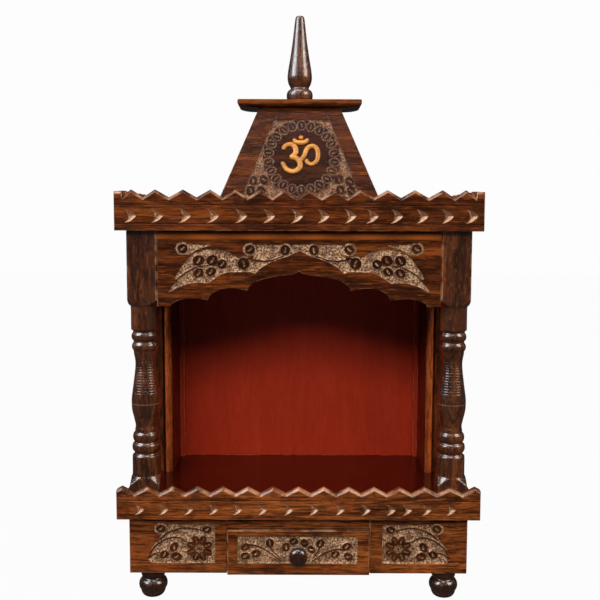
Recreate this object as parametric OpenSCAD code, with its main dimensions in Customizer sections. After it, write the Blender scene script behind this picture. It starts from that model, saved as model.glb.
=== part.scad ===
// Carved wooden home temple with a drawer base, turned columns, a cusped arch
// and a tapering tower. Millimetres, +Z up, the front faces -Y.

/* [Overall] */
// Width of the base box and of the frieze above the columns
body_w = 362; // [340:1:400]
// Depth from the face of the base rail to the back of the case
body_d = 203; // [190:1:240]
// Thickness of the boards of the base box
board_t = 10; // [8:0.5:14]

/* [Feet] */
// Diameter of a bun foot
foot_d = 31; // [26:0.5:36]
// Height of a bun foot
foot_h = 30; // [24:0.5:34]
// Distance of a foot's centre from the side of the base box
foot_inset = 22.5; // [20:0.5:30]
// Distance of a front foot's centre from the front of the base box
foot_setback = 15; // [14:0.5:24]

/* [Base box] */
// Height of the base box
box_h = 65; // [60:1:80]
// Thickness of the bottom board
bottom_t = 6; // [4:0.5:8]
// Thickness of the floor board on which the shrine stands
floor_t = 12; // [10:0.5:16]
// How far the floor board and the base rail stand out at each side
overhang = 11.5; // [9:0.5:12]

/* [Drawer] */
// Width of the drawer front
drawer_w = 152; // [120:1:170]
// Height of the drawer front
drawer_h = 49; // [44:0.5:50]
// Thickness of the drawer front
drawer_front_t = 14; // [12:0.5:18]
// How far the drawer front stands out of the base
drawer_proud = 5; // [3:0.5:6]
// Gap around the drawer front in its opening
drawer_gap = 0.8; // [0.5:0.1:1.5]
// Free depth behind the drawer when it is shut
drawer_rest = 15; // [8:0.5:30]
// Thickness of the drawer's sides and back
drawer_side_t = 7; // [5:0.5:9]
// Thickness of the drawer's bottom
drawer_bottom_t = 4; // [3:0.5:6]
// How far the drawer front stands out past the drawer box at each side
drawer_lip = 6; // [4:0.5:10]
// How much lower the drawer box is than its front
drawer_drop = 8; // [6:0.5:14]
// Clearance of the drawer box over the bottom board and beside its guides
drawer_slip = 0.5; // [0.3:0.1:0.8]
// Width of a drawer guide
guide_w = 10; // [8:0.5:14]
// Height of a drawer guide
guide_h = 12; // [8:0.5:20]
// Diameter of the drawer's knob
knob_d = 20; // [16:0.5:22]
// Length of the knob in front of the drawer
knob_len = 17; // [15:0.5:22]

/* [Rails] */
// Thickness of the notched rails
rail_t = 9; // [8:0.5:12]
// Height of the base rail from its lower edge to the roots of its teeth
base_rail_h = 27.5; // [25:0.5:30]
// Height of a tooth of the base rail
base_tooth_h = 7; // [5:0.5:9]
// Number of teeth of the base rail
base_teeth = 15; // [11:2:19]
// Height of the cornice from its lower edge to the roots of its teeth
cornice_h = 34; // [32:0.5:38]
// Height of a tooth of the cornice
cornice_tooth_h = 8; // [5:0.5:9]
// Number of teeth of the front cornice
cornice_teeth = 14; // [10:2:18]
// Width of the plain block at each end of the front cornice
cornice_stop = 8; // [5:0.5:10]
// How far a rail laps down over the face below its board
rail_lap = 3; // [2:0.5:4]
// Number of chip-cut notches along a front rail
notches = 14; // [10:2:18]
// Size of a notch in the base rail
base_notch = 12; // [9:0.5:12.5]
// Size of a notch in the cornice
cornice_notch = 14.5; // [10:0.5:16]
// Depth of a notch
notch_depth = 3.5; // [2:0.5:5]
// Distance of the lower scored line from a notch
score_gap = 1; // [0.8:0.1:1.5]
// Distance of the upper scored line from a notch
score_rise = 3; // [2:0.5:5]
// Depth of the scored lines
score_depth = 0.8; // [0.4:0.1:1.2]

/* [Columns] */
// Side of the square ends of a column
column_w = 31.5; // [31:0.5:38]
// Distance of a column from the side of the case
column_setback = 1.2; // [0:0.1:3]
// Height of the square foot of a column
plinth_h = 29; // [26:0.5:32]
// Height of the turned shaft
shaft_h = 182; // [170:1:200]
// Largest diameter of the turned shaft
shaft_d = 30.5; // [26:0.5:31]

/* [Frieze] */
// Height of the arch panel and of the square heads of the columns
frieze_h = 82; // [76:1:90]
// Thickness of the arch panel
arch_t = 10; // [8:0.5:12]
// Thickness of the plain friezes at the sides
side_frieze_t = 8.5; // [7:0.5:12]
// How far the arch panel laps into the head of a column
arch_lap = 2.5; // [1.5:0.5:4]
// Width of the flat foot of the arch beside a column
arch_foot = 14.3; // [8:0.1:20]
// Height of the arch from its feet to its point
arch_rise = 37; // [30:0.5:42]
// Height of the small point in the middle of the arch
arch_point = 4.5; // [2:0.5:6]
// Place of an inner cusp, as a share of half the arch's opening
inner_cusp = 0.4; // [0.34:0.01:0.46]
// Height of an inner cusp above the feet
inner_cusp_z = 16.5; // [12:0.5:20]
// Place of an outer cusp, as a share of half the arch's opening
outer_cusp = 0.71; // [0.62:0.01:0.78]
// Height of an outer cusp above the feet
outer_cusp_z = 6.5; // [4:0.5:9]

/* [Shrine] */
// Distance from the rail's face to the front of the shrine walls
wall_start = 126; // [110:1:140]
// Width of the stile at the front of a shrine wall
stile_w = 21; // [18:0.5:24]
// Thickness of the stile
stile_t = 12; // [10:0.5:14]
// Width of the half-round bead on the stile
bead_w = 8.5; // [6:0.5:10]
// Thickness of the shrine walls
wall_t = 8; // [6:0.5:10]
// Thickness of the back panel
back_t = 6; // [4:0.5:8]
// Side of the square battens in the back corners
batten_w = 6; // [4:0.5:8]

/* [Tower] */
// Width of the tower at its foot
tower_w = 184; // [160:1:200]
// Depth of the tower at its foot
tower_d = 132; // [126:1:150]
// Distance from the tower's foot to the front of the roof
tower_inset = 9; // [6:0.5:20]
// Height of the tower
tower_h = 118.3; // [105:0.1:125]
// Inward lean of each tower wall over its height
tower_lean = 47.7; // [40:0.1:50]
// Thickness of the tower walls
tower_t = 9; // [7:0.5:12]
// Overhang of the cap at the sides
cap_side = 23.2; // [14:0.1:25]
// Overhang of the cap at the front and the back
cap_front = 6; // [4:0.5:12]
// Thickness of the cap
cap_t = 8.6; // [7:0.1:14]
// Height of the cap's square edge
cap_edge = 5.4; // [4:0.1:6]
// Height of the finial
finial_h = 93; // [80:1:110]
// Diameter of the finial's lower ball
finial_d = 29; // [24:0.5:34]

/* [Hidden] */
WOOD = [0.36, 0.19, 0.09];
DARK = [0.25, 0.12, 0.06];
RED = [0.45, 0.13, 0.08];
// Round parts are true revolves, this only sets their preview
$fn = 48;

half_w = body_w / 2;
// The knob is the foremost point, and the origin is midway between it and the back
reach = drawer_proud - rail_t + knob_len;
face_y = reach - (body_d + reach) / 2;
case_y = face_y + rail_t;
back_y = face_y + body_d;
box_top = foot_h + box_h;
floor_z = box_top + floor_t;
head_z = floor_z + plinth_h + shaft_h;
roof_z = head_z + frieze_h;
roof_top = roof_z + floor_t;
rail_half = half_w + overhang;
cornice_half = half_w + rail_t;
niche_back = back_y - back_t;
niche_half = half_w - side_frieze_t - stile_w;
column_x = half_w - column_setback - column_w / 2;
column_in = column_x - column_w / 2;
arch_half = column_in - arch_foot;
inner_cusp_x = arch_half * inner_cusp;
outer_cusp_x = arch_half * outer_cusp;
column_y = case_y + column_w / 2;
tower_y = case_y + tower_inset + tower_d / 2;
drawer_half = drawer_w / 2;
opening_half = drawer_half + drawer_gap;
drawer_face = case_y - drawer_proud;
drawer_back_y = back_y - board_t - drawer_rest;
drawer_z = foot_h + bottom_t + drawer_slip;
tray_h = drawer_h - bottom_t - drawer_drop;
tray_half = drawer_half - drawer_lip;
base_pitch = 2 * rail_half / (base_teeth - 0.6);
cornice_pitch = 2 * cornice_half / (cornice_teeth + 0.25);

// Draws a shape at the right and its mirror image at the left
module at_side(side) {
    mirror([side < 0 ? 1 : 0, 0, 0]) children();
}

// Board from one corner to the opposite corner
module board(from, to) {
    translate(from) cube(to - from);
}

// Bun foot, a flattened ball under a short collar
module foot() {
    r = foot_d / 2;
    ball_z = foot_h * 0.42;
    arc = [for (a = [-64:8:48]) [r * cos(a), ball_z + ball_z * sin(a) / sin(64)]];
    color(DARK) rotate_extrude()
        polygon(concat([[0, 0]], arc, [[r * 0.72, foot_h * 0.8], [r * 0.84, foot_h * 0.87],
            [r * 0.84, foot_h], [0, foot_h]]));
}

module foot_at(side, y) {
    translate([side * (half_w - foot_inset), y, 0]) foot();
}

module base_front(side) {
    color(WOOD) at_side(side)
        board([opening_half, case_y, foot_h], [half_w, case_y + board_t, box_top]);
}

module base_top_rail() {
    color(WOOD) board([-opening_half, case_y, foot_h + drawer_h + drawer_gap],
        [opening_half, case_y + board_t, box_top]);
}

module base_side(side) {
    color(WOOD) at_side(side) board([half_w - board_t, case_y + board_t, foot_h],
        [half_w, back_y - board_t, box_top]);
}

module base_back() {
    color(WOOD) board([-half_w, back_y - board_t, foot_h], [half_w, back_y, box_top]);
}

module base_bottom() {
    color(DARK) board([board_t - half_w, case_y + board_t, foot_h],
        [half_w - board_t, back_y - board_t, foot_h + bottom_t]);
}

module drawer_guide(side) {
    inner = tray_half + drawer_slip;
    color(DARK) at_side(side) board([inner, case_y + board_t, foot_h + bottom_t],
        [inner + guide_w, back_y - board_t, foot_h + bottom_t + guide_h]);
}

module floor_board() {
    color(RED) board([-rail_half, case_y, box_top], [rail_half, back_y, floor_z]);
}

// Outline of a toothed rail, from its lower edge up, centred on x = 0. It ends in a
// plain block of the width given as stop, or else its last tooth is cut off
module rail_outline(half, root_h, tooth_h, pitch, count, stop) {
    first = (1 - count) / 2 * pitch;
    tips = [for (i = [0:count - 1]) [first + i * pitch, root_h + tooth_h]];
    roots = [for (i = [0:count - 2]) [first + (i + 0.5) * pitch, root_h]];
    teeth = [for (i = [0:2 * count - 2]) i % 2 == 0 ? tips[i / 2] : roots[(i - 1) / 2]];
    stop_z = root_h + tooth_h * 0.8;
    far = -first + 1.5 * pitch;
    right = stop > 0
        ? [[half - stop, root_h], [half - stop, stop_z], [half, stop_z], [half, 0]]
        : [[far - pitch, root_h], [far, root_h], [far, 0]];
    left = [for (i = [len(right) - 1:-1:0]) [-right[i][0], right[i][1]]];
    intersection() {
        polygon(concat(left, teeth, right));
        translate([-half, 0]) square([2 * half, root_h + tooth_h]);
    }
}

// Toothed rail that stands at y = 0 to rail_t, its lower edge at z = 0
module toothed_rail(half, root_h, tooth_h, pitch, count, stop) {
    translate([0, rail_t, 0]) rotate([90, 0, 0])
        linear_extrude(rail_t) rail_outline(half, root_h, tooth_h, pitch, count, stop);
}

// Cutter of one chip, three facets that meet at a point near its left end
module chip(size) {
    deepest = [-0.22 * size, notch_depth, 0];
    rim = [[-size / 2, 0, size / 2], [-size / 2, 0, -size / 2], [size / 2, 0, 0]];
    polyhedron(points = concat([for (v = rim) deepest + (v - deepest) * 1.2], [deepest]),
        faces = [[0, 2, 1], [0, 1, 3], [1, 2, 3], [2, 0, 3]]);
}

// Scored line along a rail, a small V groove
module score(half, z) {
    side = score_depth * sqrt(2);
    translate([0, 0, z]) rotate([45, 0, 0])
        cube([2 * half + 2, side, side], center = true);
}

// Row of chips between two scored lines, centred at height z
module chip_row(half, size, z) {
    pitch = (2 * half - size) / notches;
    for (i = [0:notches - 1])
        translate([(i - (notches - 1) / 2) * pitch, 0, z]) chip(size);
    score(half, z - size / 2 - score_gap);
    score(half, z + size / 2 + score_rise);
}

module base_rail() {
    color(WOOD) translate([0, face_y, box_top - rail_lap]) difference() {
        toothed_rail(rail_half, base_rail_h, base_tooth_h, base_pitch, base_teeth, 0);
        chip_row(rail_half, base_notch, base_rail_h * 0.41);
    }
}

// Turned profile of a column, radius and height above the floor board
function bead(r, z, h) = [for (a = [-75:25:75])
    [r - h * 0.32 * (1 - cos(a)), z + h / 2 + h * 0.5 * sin(a)]];
function blend(r1, z1, r2, z2) = [for (t = [0:0.125:1])
    [r1 + (r2 - r1) * (1 - cos(180 * t)) / 2, z1 + (z2 - z1) * t]];
function shaft_profile(z, h, r) = concat(
    [[0, z - 12], [r * 1.02, z - 12], [r, z - 6], [r * 0.985, z + h * 0.112]],
    [[r * 0.93, z + h * 0.119]],
    bead(r, z + h * 0.131, h * 0.058),
    bead(r * 0.95, z + h * 0.193, h * 0.056),
    blend(r * 0.79, z + h * 0.255, r * 0.74, z + h * 0.29),
    blend(r * 0.745, z + h * 0.3, r, z + h * 0.42),
    blend(r * 0.995, z + h * 0.43, r * 0.7, z + h * 0.65),
    [[r * 0.72, z + h * 0.727]],
    bead(r * 0.93, z + h * 0.733, h * 0.05),
    bead(r * 0.95, z + h * 0.79, h * 0.05),
    [[r * 0.86, z + h * 0.845], [r * 0.955, z + h * 0.856], [r * 0.965, z + h],
    [r * 0.965, z + h + 12], [0, z + h + 12]]);

module column(side) {
    r = shaft_d / 2;
    w = column_w / 2;
    color(WOOD) difference() {
        translate([side * column_x, column_y, floor_z]) union() {
            // Square foot with a turned shoulder
            intersection() {
                translate([-w, -w, 0]) cube([column_w, column_w, plinth_h]);
                rotate_extrude() polygon([[0, -1], [w * 1.5, -1], [w * 1.5, plinth_h - 12],
                    [w * 1.3, plinth_h - 6], [w * 1.1, plinth_h - 2], [r, plinth_h], [0, plinth_h]]);
            }
            rotate_extrude() polygon(shaft_profile(plinth_h, shaft_h, r));
            // Square head with a turned shoulder
            translate([0, 0, plinth_h + shaft_h]) intersection() {
                translate([-w, -w, 0]) cube([column_w, column_w, frieze_h]);
                rotate_extrude() polygon([[0, 0], [r, 0], [w * 1.1, 2], [w * 1.3, 5],
                    [w * 1.5, 10], [w * 1.5, frieze_h + 1], [0, frieze_h + 1]]);
            }
        }
        // Seat of the arch panel
        at_side(side) board([column_in - 1, case_y - 1, head_z - 1],
            [column_in + arch_lap, case_y + arch_t, roof_z + 1]);
    }
}

// Front edge of a shrine wall with its bead
module stile(side) {
    y = face_y + wall_start;
    color(WOOD) at_side(side) difference() {
        union() {
            board([niche_half, y, floor_z], [niche_half + stile_w, y + stile_t, roof_z]);
            translate([niche_half + bead_w / 2, y, floor_z])
                cylinder(h = roof_z - floor_z, r = bead_w / 2);
        }
        board([niche_half + bead_w, y - 1, floor_z - 1],
            [niche_half + bead_w + 2, y + 2, roof_z + 1]);
    }
}

module wall(side) {
    y = face_y + wall_start + stile_t;
    color(WOOD) at_side(side)
        board([niche_half, y, floor_z], [niche_half + wall_t, niche_back, roof_z]);
}

module back_panel() {
    w = niche_half + stile_w;
    color(RED) board([-w, niche_back, floor_z], [w, back_y, roof_z]);
}

module corner_batten(side) {
    color(RED) at_side(side) board([niche_half - batten_w, niche_back - batten_w, floor_z],
        [niche_half, niche_back, roof_z]);
}

// Height in a side lobe of the arch, t runs from its inner end to its outer end
function lobe(t, low, high) =
    low + (high - low) * (sqrt(1 - pow(t, 4)) + 0.3 * sin(180 * t));

// Height of the arch above its feet, at a distance x from the middle
function arch_z(x) = let (u = abs(x), crown = arch_rise - arch_point - inner_cusp_z)
    u < inner_cusp_x ? inner_cusp_z + crown * sqrt(1 - pow(u / inner_cusp_x, 2.4))
        + arch_point * exp(-u / 6)
    : u < outer_cusp_x
        ? lobe((u - inner_cusp_x) / (outer_cusp_x - inner_cusp_x), outer_cusp_z, inner_cusp_z)
    : lobe(min(1, (u - outer_cusp_x) / (arch_half - outer_cusp_x)), 0, outer_cusp_z);

module arch_panel() {
    half = column_in + arch_lap;
    steps = 44;
    curve = [for (i = [-steps:steps]) let (x = arch_half * sin(90 * i / steps)) [x, arch_z(x)]];
    color(WOOD) translate([0, case_y + arch_t, head_z]) rotate([90, 0, 0])
        linear_extrude(arch_t)
            polygon(concat([[-half, frieze_h], [-half, 0]], curve, [[half, 0], [half, frieze_h]]));
}

// Plain board behind a column's head, against the stile and the back panel
module side_frieze(side) {
    color(WOOD) at_side(side)
        board([half_w - side_frieze_t, case_y + column_w, head_z], [half_w, back_y, roof_z]);
}

module roof_board() {
    color(WOOD) board([-half_w, case_y, roof_z], [half_w, back_y, roof_top]);
}

module cornice_front() {
    color(WOOD) translate([0, face_y, roof_z - rail_lap]) difference() {
        toothed_rail(cornice_half, cornice_h, cornice_tooth_h, cornice_pitch, cornice_teeth,
            cornice_stop);
        chip_row(cornice_half, cornice_notch, cornice_h * 0.45);
    }
}

// Side cornice, behind the end of the front one
module cornice_side(side) {
    length = back_y - case_y;
    color(WOOD) at_side(side)
        translate([cornice_half, case_y + length / 2, roof_z - rail_lap]) rotate([0, 0, 90])
            toothed_rail(length / 2, cornice_h, cornice_tooth_h, cornice_pitch,
                round(length / cornice_pitch), 0);
}

// Leaning board between a level rectangle at its foot and one at its top,
// each given as [x0, x1, y0, y1]
module leaning_board(low, high, h) {
    polyhedron(
        points = [[low[0], low[2], 0], [low[1], low[2], 0], [low[1], low[3], 0], [low[0], low[3], 0],
            [high[0], high[2], h], [high[1], high[2], h], [high[1], high[3], h], [high[0], high[3], h]],
        faces = [[0, 1, 2, 3], [4, 7, 6, 5], [0, 4, 5, 1], [1, 5, 6, 2], [2, 6, 7, 3], [3, 7, 4, 0]]);
}

// Front wall of the tower, or its back wall when turned round
module tower_face(turn) {
    w = tower_w / 2;
    d = tower_d / 2;
    l = tower_lean;
    color(WOOD) translate([0, tower_y, roof_top]) rotate([0, 0, turn])
        leaning_board([-w, w, -d, tower_t - d], [l - w, w - l, l - d, l + tower_t - d], tower_h);
}

// Side wall of the tower, between the front and the back walls
module tower_side(side) {
    w = tower_w / 2;
    d = tower_d / 2 - tower_t;
    l = tower_lean;
    color(WOOD) translate([0, tower_y, roof_top]) at_side(side)
        leaning_board([w - tower_t, w, -d, d], [w - l - tower_t, w - l, l - d, d - l], tower_h);
}

// Section of the cap, a square edge over a rounded underside
module cap_section(half, lap) {
    drop = cap_t - cap_edge;
    curve = [for (a = [0:15:90]) [half - lap + lap * cos(a), drop * (1 - sin(a))]];
    polygon(concat([[half, cap_t]], curve, [for (i = [len(curve) - 1:-1:0]) [-curve[i][0], curve[i][1]]],
        [[-half, cap_t]]));
}

module tower_cap() {
    half_x = tower_w / 2 - tower_lean + cap_side;
    half_y = tower_d / 2 - tower_lean + cap_front;
    color(WOOD) translate([0, tower_y, roof_top + tower_h]) intersection() {
        translate([0, half_y, 0]) rotate([90, 0, 0])
            linear_extrude(2 * half_y) cap_section(half_x, cap_side);
        translate([-half_x, 0, 0]) rotate([90, 0, 90])
            linear_extrude(2 * half_x) cap_section(half_y, cap_front);
    }
}

// Turned finial, a ball, a neck and a long tapering bulb
module finial() {
    r = finial_d / 2;
    h = finial_h;
    ball = [for (a = [-65:10:65])
        [r * (1 + cos(a)) / 2, h * 0.056 * (1 + sin(a) / sin(65))]];
    bulb = [for (a = [-60:12:0])
        [r * 0.935 * (1 + cos(a)) / 2, h * (0.267 + 0.137 * sin(a) / sin(60))]];
    taper = [for (t = [0:0.1:1]) [r * (0.935 - 0.625 * pow(t, 0.9)), h * (0.267 + 0.723 * t)]];
    color(WOOD) translate([0, tower_y, roof_top + tower_h + cap_t]) rotate_extrude()
        polygon(concat([[0, 0]], ball, bulb, taper, [[r * 0.26, h], [0, h]]));
}

module drawer_front() {
    color(WOOD) board([-drawer_half, drawer_face, foot_h],
        [drawer_half, drawer_face + drawer_front_t, foot_h + drawer_h]);
}

module drawer_side(side) {
    color(WOOD) at_side(side)
        board([tray_half - drawer_side_t, drawer_face + drawer_front_t, drawer_z],
            [tray_half, drawer_back_y, drawer_z + tray_h]);
}

module drawer_back() {
    inner = tray_half - drawer_side_t;
    color(WOOD) board([-inner, drawer_back_y - drawer_side_t, drawer_z + drawer_bottom_t],
        [inner, drawer_back_y, drawer_z + tray_h]);
}

module drawer_bottom() {
    inner = tray_half - drawer_side_t;
    color(WOOD) board([-inner, drawer_face + drawer_front_t, drawer_z],
        [inner, drawer_back_y, drawer_z + drawer_bottom_t]);
}

// Turned knob, a flange, a neck and a flattened ball
module drawer_knob() {
    r = knob_d / 2;
    ball_h = knob_len * 0.42;
    ball = [for (a = [-50:10:80]) [r * cos(a), knob_len - ball_h + ball_h * sin(a) / sin(80)]];
    color(DARK) translate([0, drawer_face, foot_h + drawer_h / 2]) rotate([90, 0, 0])
        rotate_extrude()
            polygon(concat([[0, 0], [r * 0.75, 0], [r * 0.75, 1.5], [r * 0.5, 3]], ball, [[0, knob_len]]));
}

foot_at(-1, case_y + foot_setback);  // foot_front_left
foot_at(1, case_y + foot_setback);  // foot_front_right
foot_at(-1, back_y - foot_inset);  // foot_back_left
foot_at(1, back_y - foot_inset);  // foot_back_right
base_front(-1);  // base_front_left
base_front(1);  // base_front_right
base_top_rail();
base_side(-1);  // base_side_left
base_side(1);  // base_side_right
base_back();
base_bottom();
drawer_guide(-1);  // drawer_guide_left
drawer_guide(1);  // drawer_guide_right
floor_board();
base_rail();
column(-1);  // column_left
column(1);  // column_right
stile(-1);  // stile_left
stile(1);  // stile_right
wall(-1);  // wall_left
wall(1);  // wall_right
back_panel();
corner_batten(-1);  // corner_batten_left
corner_batten(1);  // corner_batten_right
arch_panel();
side_frieze(-1);  // side_frieze_left
side_frieze(1);  // side_frieze_right
roof_board();
cornice_front();
cornice_side(-1);  // cornice_left
cornice_side(1);  // cornice_right
tower_face(0);  // tower_front
tower_face(180);  // tower_back
tower_side(-1);  // tower_left
tower_side(1);  // tower_right
tower_cap();
finial();
drawer_front();
drawer_side(-1);  // drawer_side_left
drawer_side(1);  // drawer_side_right
drawer_back();
drawer_bottom();
drawer_knob();
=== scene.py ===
"""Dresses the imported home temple: planed boards, turned columns, carved faces and glossy stain."""
import logging
import math
from dataclasses import dataclass, field, replace
from enum import Enum
from typing import Callable, Sequence

import bmesh
import bpy
import numpy as np
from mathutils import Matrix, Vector


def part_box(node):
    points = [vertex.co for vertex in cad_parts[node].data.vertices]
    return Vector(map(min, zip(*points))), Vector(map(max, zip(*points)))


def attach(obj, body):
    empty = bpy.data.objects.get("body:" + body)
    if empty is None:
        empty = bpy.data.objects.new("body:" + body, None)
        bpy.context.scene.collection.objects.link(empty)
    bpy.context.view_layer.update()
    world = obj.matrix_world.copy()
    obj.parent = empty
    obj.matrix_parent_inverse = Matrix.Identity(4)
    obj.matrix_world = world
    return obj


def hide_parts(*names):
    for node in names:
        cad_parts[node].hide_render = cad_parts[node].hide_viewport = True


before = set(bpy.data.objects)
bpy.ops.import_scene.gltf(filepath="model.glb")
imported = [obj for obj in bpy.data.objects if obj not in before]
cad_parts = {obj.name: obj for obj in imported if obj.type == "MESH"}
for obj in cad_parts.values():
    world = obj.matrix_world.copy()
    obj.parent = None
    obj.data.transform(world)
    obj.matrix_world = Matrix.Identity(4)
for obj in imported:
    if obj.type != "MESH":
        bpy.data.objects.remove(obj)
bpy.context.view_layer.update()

MM = 0.001
CASE = "case"
DRAWER = "drawer"
Array = np.ndarray
Path = Sequence[tuple[float, float]]
Socket = bpy.types.NodeSocket
log = logging.getLogger("home_temple")


# Curves and distances, all in millimetres

def smooth_path(knots: Path | Array, step: float) -> Array:
    """Catmull-Rom curve through the knots, resampled at even steps along its length.

    Args:
        knots: Points of the path, in two or three dimensions.
        step: Distance between two points of the result.

    Returns:
        The points, one in a row.
    """
    p = np.asarray(knots, float)
    p = np.vstack([2 * p[0] - p[1], p, 2 * p[-1] - p[-2]])
    t = np.linspace(0, 1, 16, endpoint=False)[:, None, None]
    p0, p1, p2, p3 = p[:-3], p[1:-2], p[2:-1], p[3:]
    curve = 0.5 * (2 * p1 + (p2 - p0) * t + (2 * p0 - 5 * p1 + 4 * p2 - p3) * t ** 2
                   + (3 * p1 - p0 - 3 * p2 + p3) * t ** 3)
    curve = np.vstack([curve.transpose(1, 0, 2).reshape(-1, p.shape[1]), p[-2]])
    run = np.concatenate([[0], np.cumsum(np.linalg.norm(np.diff(curve, axis=0), axis=1))])
    even = np.linspace(0, run[-1], max(4, int(run[-1] / step) + 1))
    return np.column_stack([np.interp(even, run, curve[:, k]) for k in range(p.shape[1])])


def soft_step(distance: Array, soft: float = 0.35) -> Array:
    """1 where the distance is well below 0, 0 where it is well above, with an S-curve between.

    Args:
        distance: Signed distance to an outline, negative inside.
        soft: Half width of the change.

    Returns:
        The mask.
    """
    t = np.clip(0.5 - distance / (2 * soft), 0, 1)
    return t * t * (3 - 2 * t)


def outline_distance(a: Array, b: Array, outline: Path) -> Array:
    """Distance to the nearest edge of a closed outline, negative where a ray crosses it an odd
    number of times.

    Args:
        a: Places along the board.
        b: Places up the board.
        outline: Corners of the outline.

    Returns:
        The signed distance.
    """
    corners = np.asarray(outline, float)
    best = np.full(a.shape, 1e9)
    inside = np.zeros(a.shape, bool)
    for (a0, b0), (a1, b1) in zip(corners, np.roll(corners, -1, 0)):
        da, db = a1 - a0, b1 - b0
        t = np.clip(((a - a0) * da + (b - b0) * db) / (da * da + db * db), 0, 1)
        best = np.minimum(best, np.hypot(a - a0 - t * da, b - b0 - t * db))
        level = db if abs(db) > 1e-9 else 1e-9
        inside ^= ((b0 > b) != (b1 > b)) & (a < da * (b - b0) / level + a0)
    return np.where(inside, -best, best)


def stroke_distance(a: Array, b: Array, path: Path, wide: float, thin: float | None = None) -> Array:
    """Distance to a smooth stroke whose width changes evenly from its start to its end.

    Args:
        a: Places along the board.
        b: Places up the board.
        path: Knots of the stroke.
        wide: Width at the start.
        thin: Width at the end, the same as at the start if left out.

    Returns:
        The signed distance, negative inside the stroke.
    """
    curve = smooth_path(path, 1.6)
    widths = np.linspace(wide, wide if thin is None else thin, len(curve)) / 2
    best = np.full(a.shape, 1e9)
    for k in range(len(curve) - 1):
        (a0, b0), (da, db) = curve[k], curve[k + 1] - curve[k]
        t = np.clip(((a - a0) * da + (b - b0) * db) / (da * da + db * db), 0, 1)
        best = np.minimum(best, np.hypot(a - a0 - t * da, b - b0 - t * db) - widths[k])
    return best


def oval_distance(a: Array, b: Array, centre: tuple[float, float], half: tuple[float, float],
                  turn: float = 0.0) -> Array:
    """Distance to an oval, as its scaled radius less one, times its smaller half width.

    Args:
        a: Places along the board.
        b: Places up the board.
        centre: Middle of the oval.
        half: Half of its length and of its width.
        turn: Angle of its length, in degrees.

    Returns:
        The signed distance, negative inside.
    """
    c, s = math.cos(math.radians(turn)), math.sin(math.radians(turn))
    p, q = a - centre[0], b - centre[1]
    return (np.hypot((p * c + q * s) / half[0], (q * c - p * s) / half[1]) - 1) * min(half)


def punch_marks(a: Array, b: Array, pitch: float) -> Array:
    """Round punch marks, one in each cell of a lattice and moved inside it by a fixed hash.

    Args:
        a: Places along the board.
        b: Places up the board.
        pitch: Size of a cell.

    Returns:
        1 in the middle of a mark, falling to 0 at its rim.
    """
    i, j = np.floor(a / pitch), np.floor(b / pitch)
    best = np.full(a.shape, 1e9)
    for di in (-1, 0, 1):
        for dj in (-1, 0, 1):
            ci, cj = i + di, j + dj
            h1 = np.sin(ci * 12.9898 + cj * 78.233) * 43758.5453 % 1
            h2 = np.sin(ci * 39.3461 + cj * 11.135) * 24634.6345 % 1
            best = np.minimum(best, np.hypot(a - (ci + 0.2 + 0.6 * h1) * pitch,
                                             b - (cj + 0.2 + 0.6 * h2) * pitch))
    return np.clip(1 - best / (0.5 * pitch), 0, 1)


# Meshes

@dataclass
class Shell:
    """Points and faces of one piece, in millimetres, with masks that its finish reads."""

    points: Array
    faces: list[Array]
    masks: dict[str, Array] = field(default_factory=dict)


def grid_quads(rows: int, cols: int, wrap: bool = False, start: int = 0) -> Array:
    """Faces of a grid whose points are stored row by row.

    Args:
        rows: Number of rows.
        cols: Number of columns.
        wrap: Whether the last column joins the first.
        start: Index of the first point.

    Returns:
        Four indices in a row.
    """
    i, j = np.meshgrid(np.arange(rows - 1), np.arange(cols if wrap else cols - 1), indexing="ij")
    k = (j + 1) % cols
    quads = np.stack([i * cols + j, i * cols + k, (i + 1) * cols + k, (i + 1) * cols + j], -1)
    return quads.reshape(-1, 4) + start


def tube_shell(rings: Array) -> Shell:
    """Closed skin over a stack of rings, with a fan to a middle point at each end.

    Args:
        rings: Points as (ring, point on the ring, xyz), each ring anticlockwise seen from the last.

    Returns:
        The shell.
    """
    count, around = rings.shape[:2]
    points = np.vstack([rings.reshape(-1, 3), rings[0].mean(0), rings[-1].mean(0)])
    j = np.arange(around)
    k = (j + 1) % around
    last = (count - 1) * around
    low = np.column_stack([np.full(around, count * around), k, j])
    high = np.column_stack([np.full(around, count * around + 1), last + j, last + k])
    return Shell(points, [grid_quads(count, around, True), low, high])


def turned_shell(profile: Array, around: int = 96) -> Shell:
    """A profile turned round the z axis: the point at height z and angle t is (r cos t, r sin t, z).

    Args:
        profile: Radius and height, from the bottom up.
        around: Number of points round the axis.

    Returns:
        The shell.
    """
    t = np.linspace(0, 2 * np.pi, around, endpoint=False)
    r, z = profile[:, :1], profile[:, 1:]
    return tube_shell(np.stack([r * np.cos(t), r * np.sin(t), z + 0 * t], -1))


def make_piece(name: str, shell: Shell, finish: "Finish", body: str = CASE,
               stands_for: Sequence[str] = ()) -> bpy.types.Object:
    """Puts a shell into the scene.

    Args:
        name: Name of the piece.
        shell: Its points and faces.
        finish: Its finish.
        body: The CAD body that it rides on.
        stands_for: CAD nodes that it replaces.

    Returns:
        The object.
    """
    mesh = bpy.data.meshes.new(name)
    mesh.from_pydata(shell.points * MM, [], [face for block in shell.faces for face in block.tolist()])
    for mask, values in shell.masks.items():
        mesh.attributes.new(mask, "FLOAT", "POINT").data.foreach_set("value", values.astype(np.float32))
    mesh.shade_smooth()
    return dress(bpy.data.objects.new(name, mesh), finish, body, stands_for)


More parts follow.
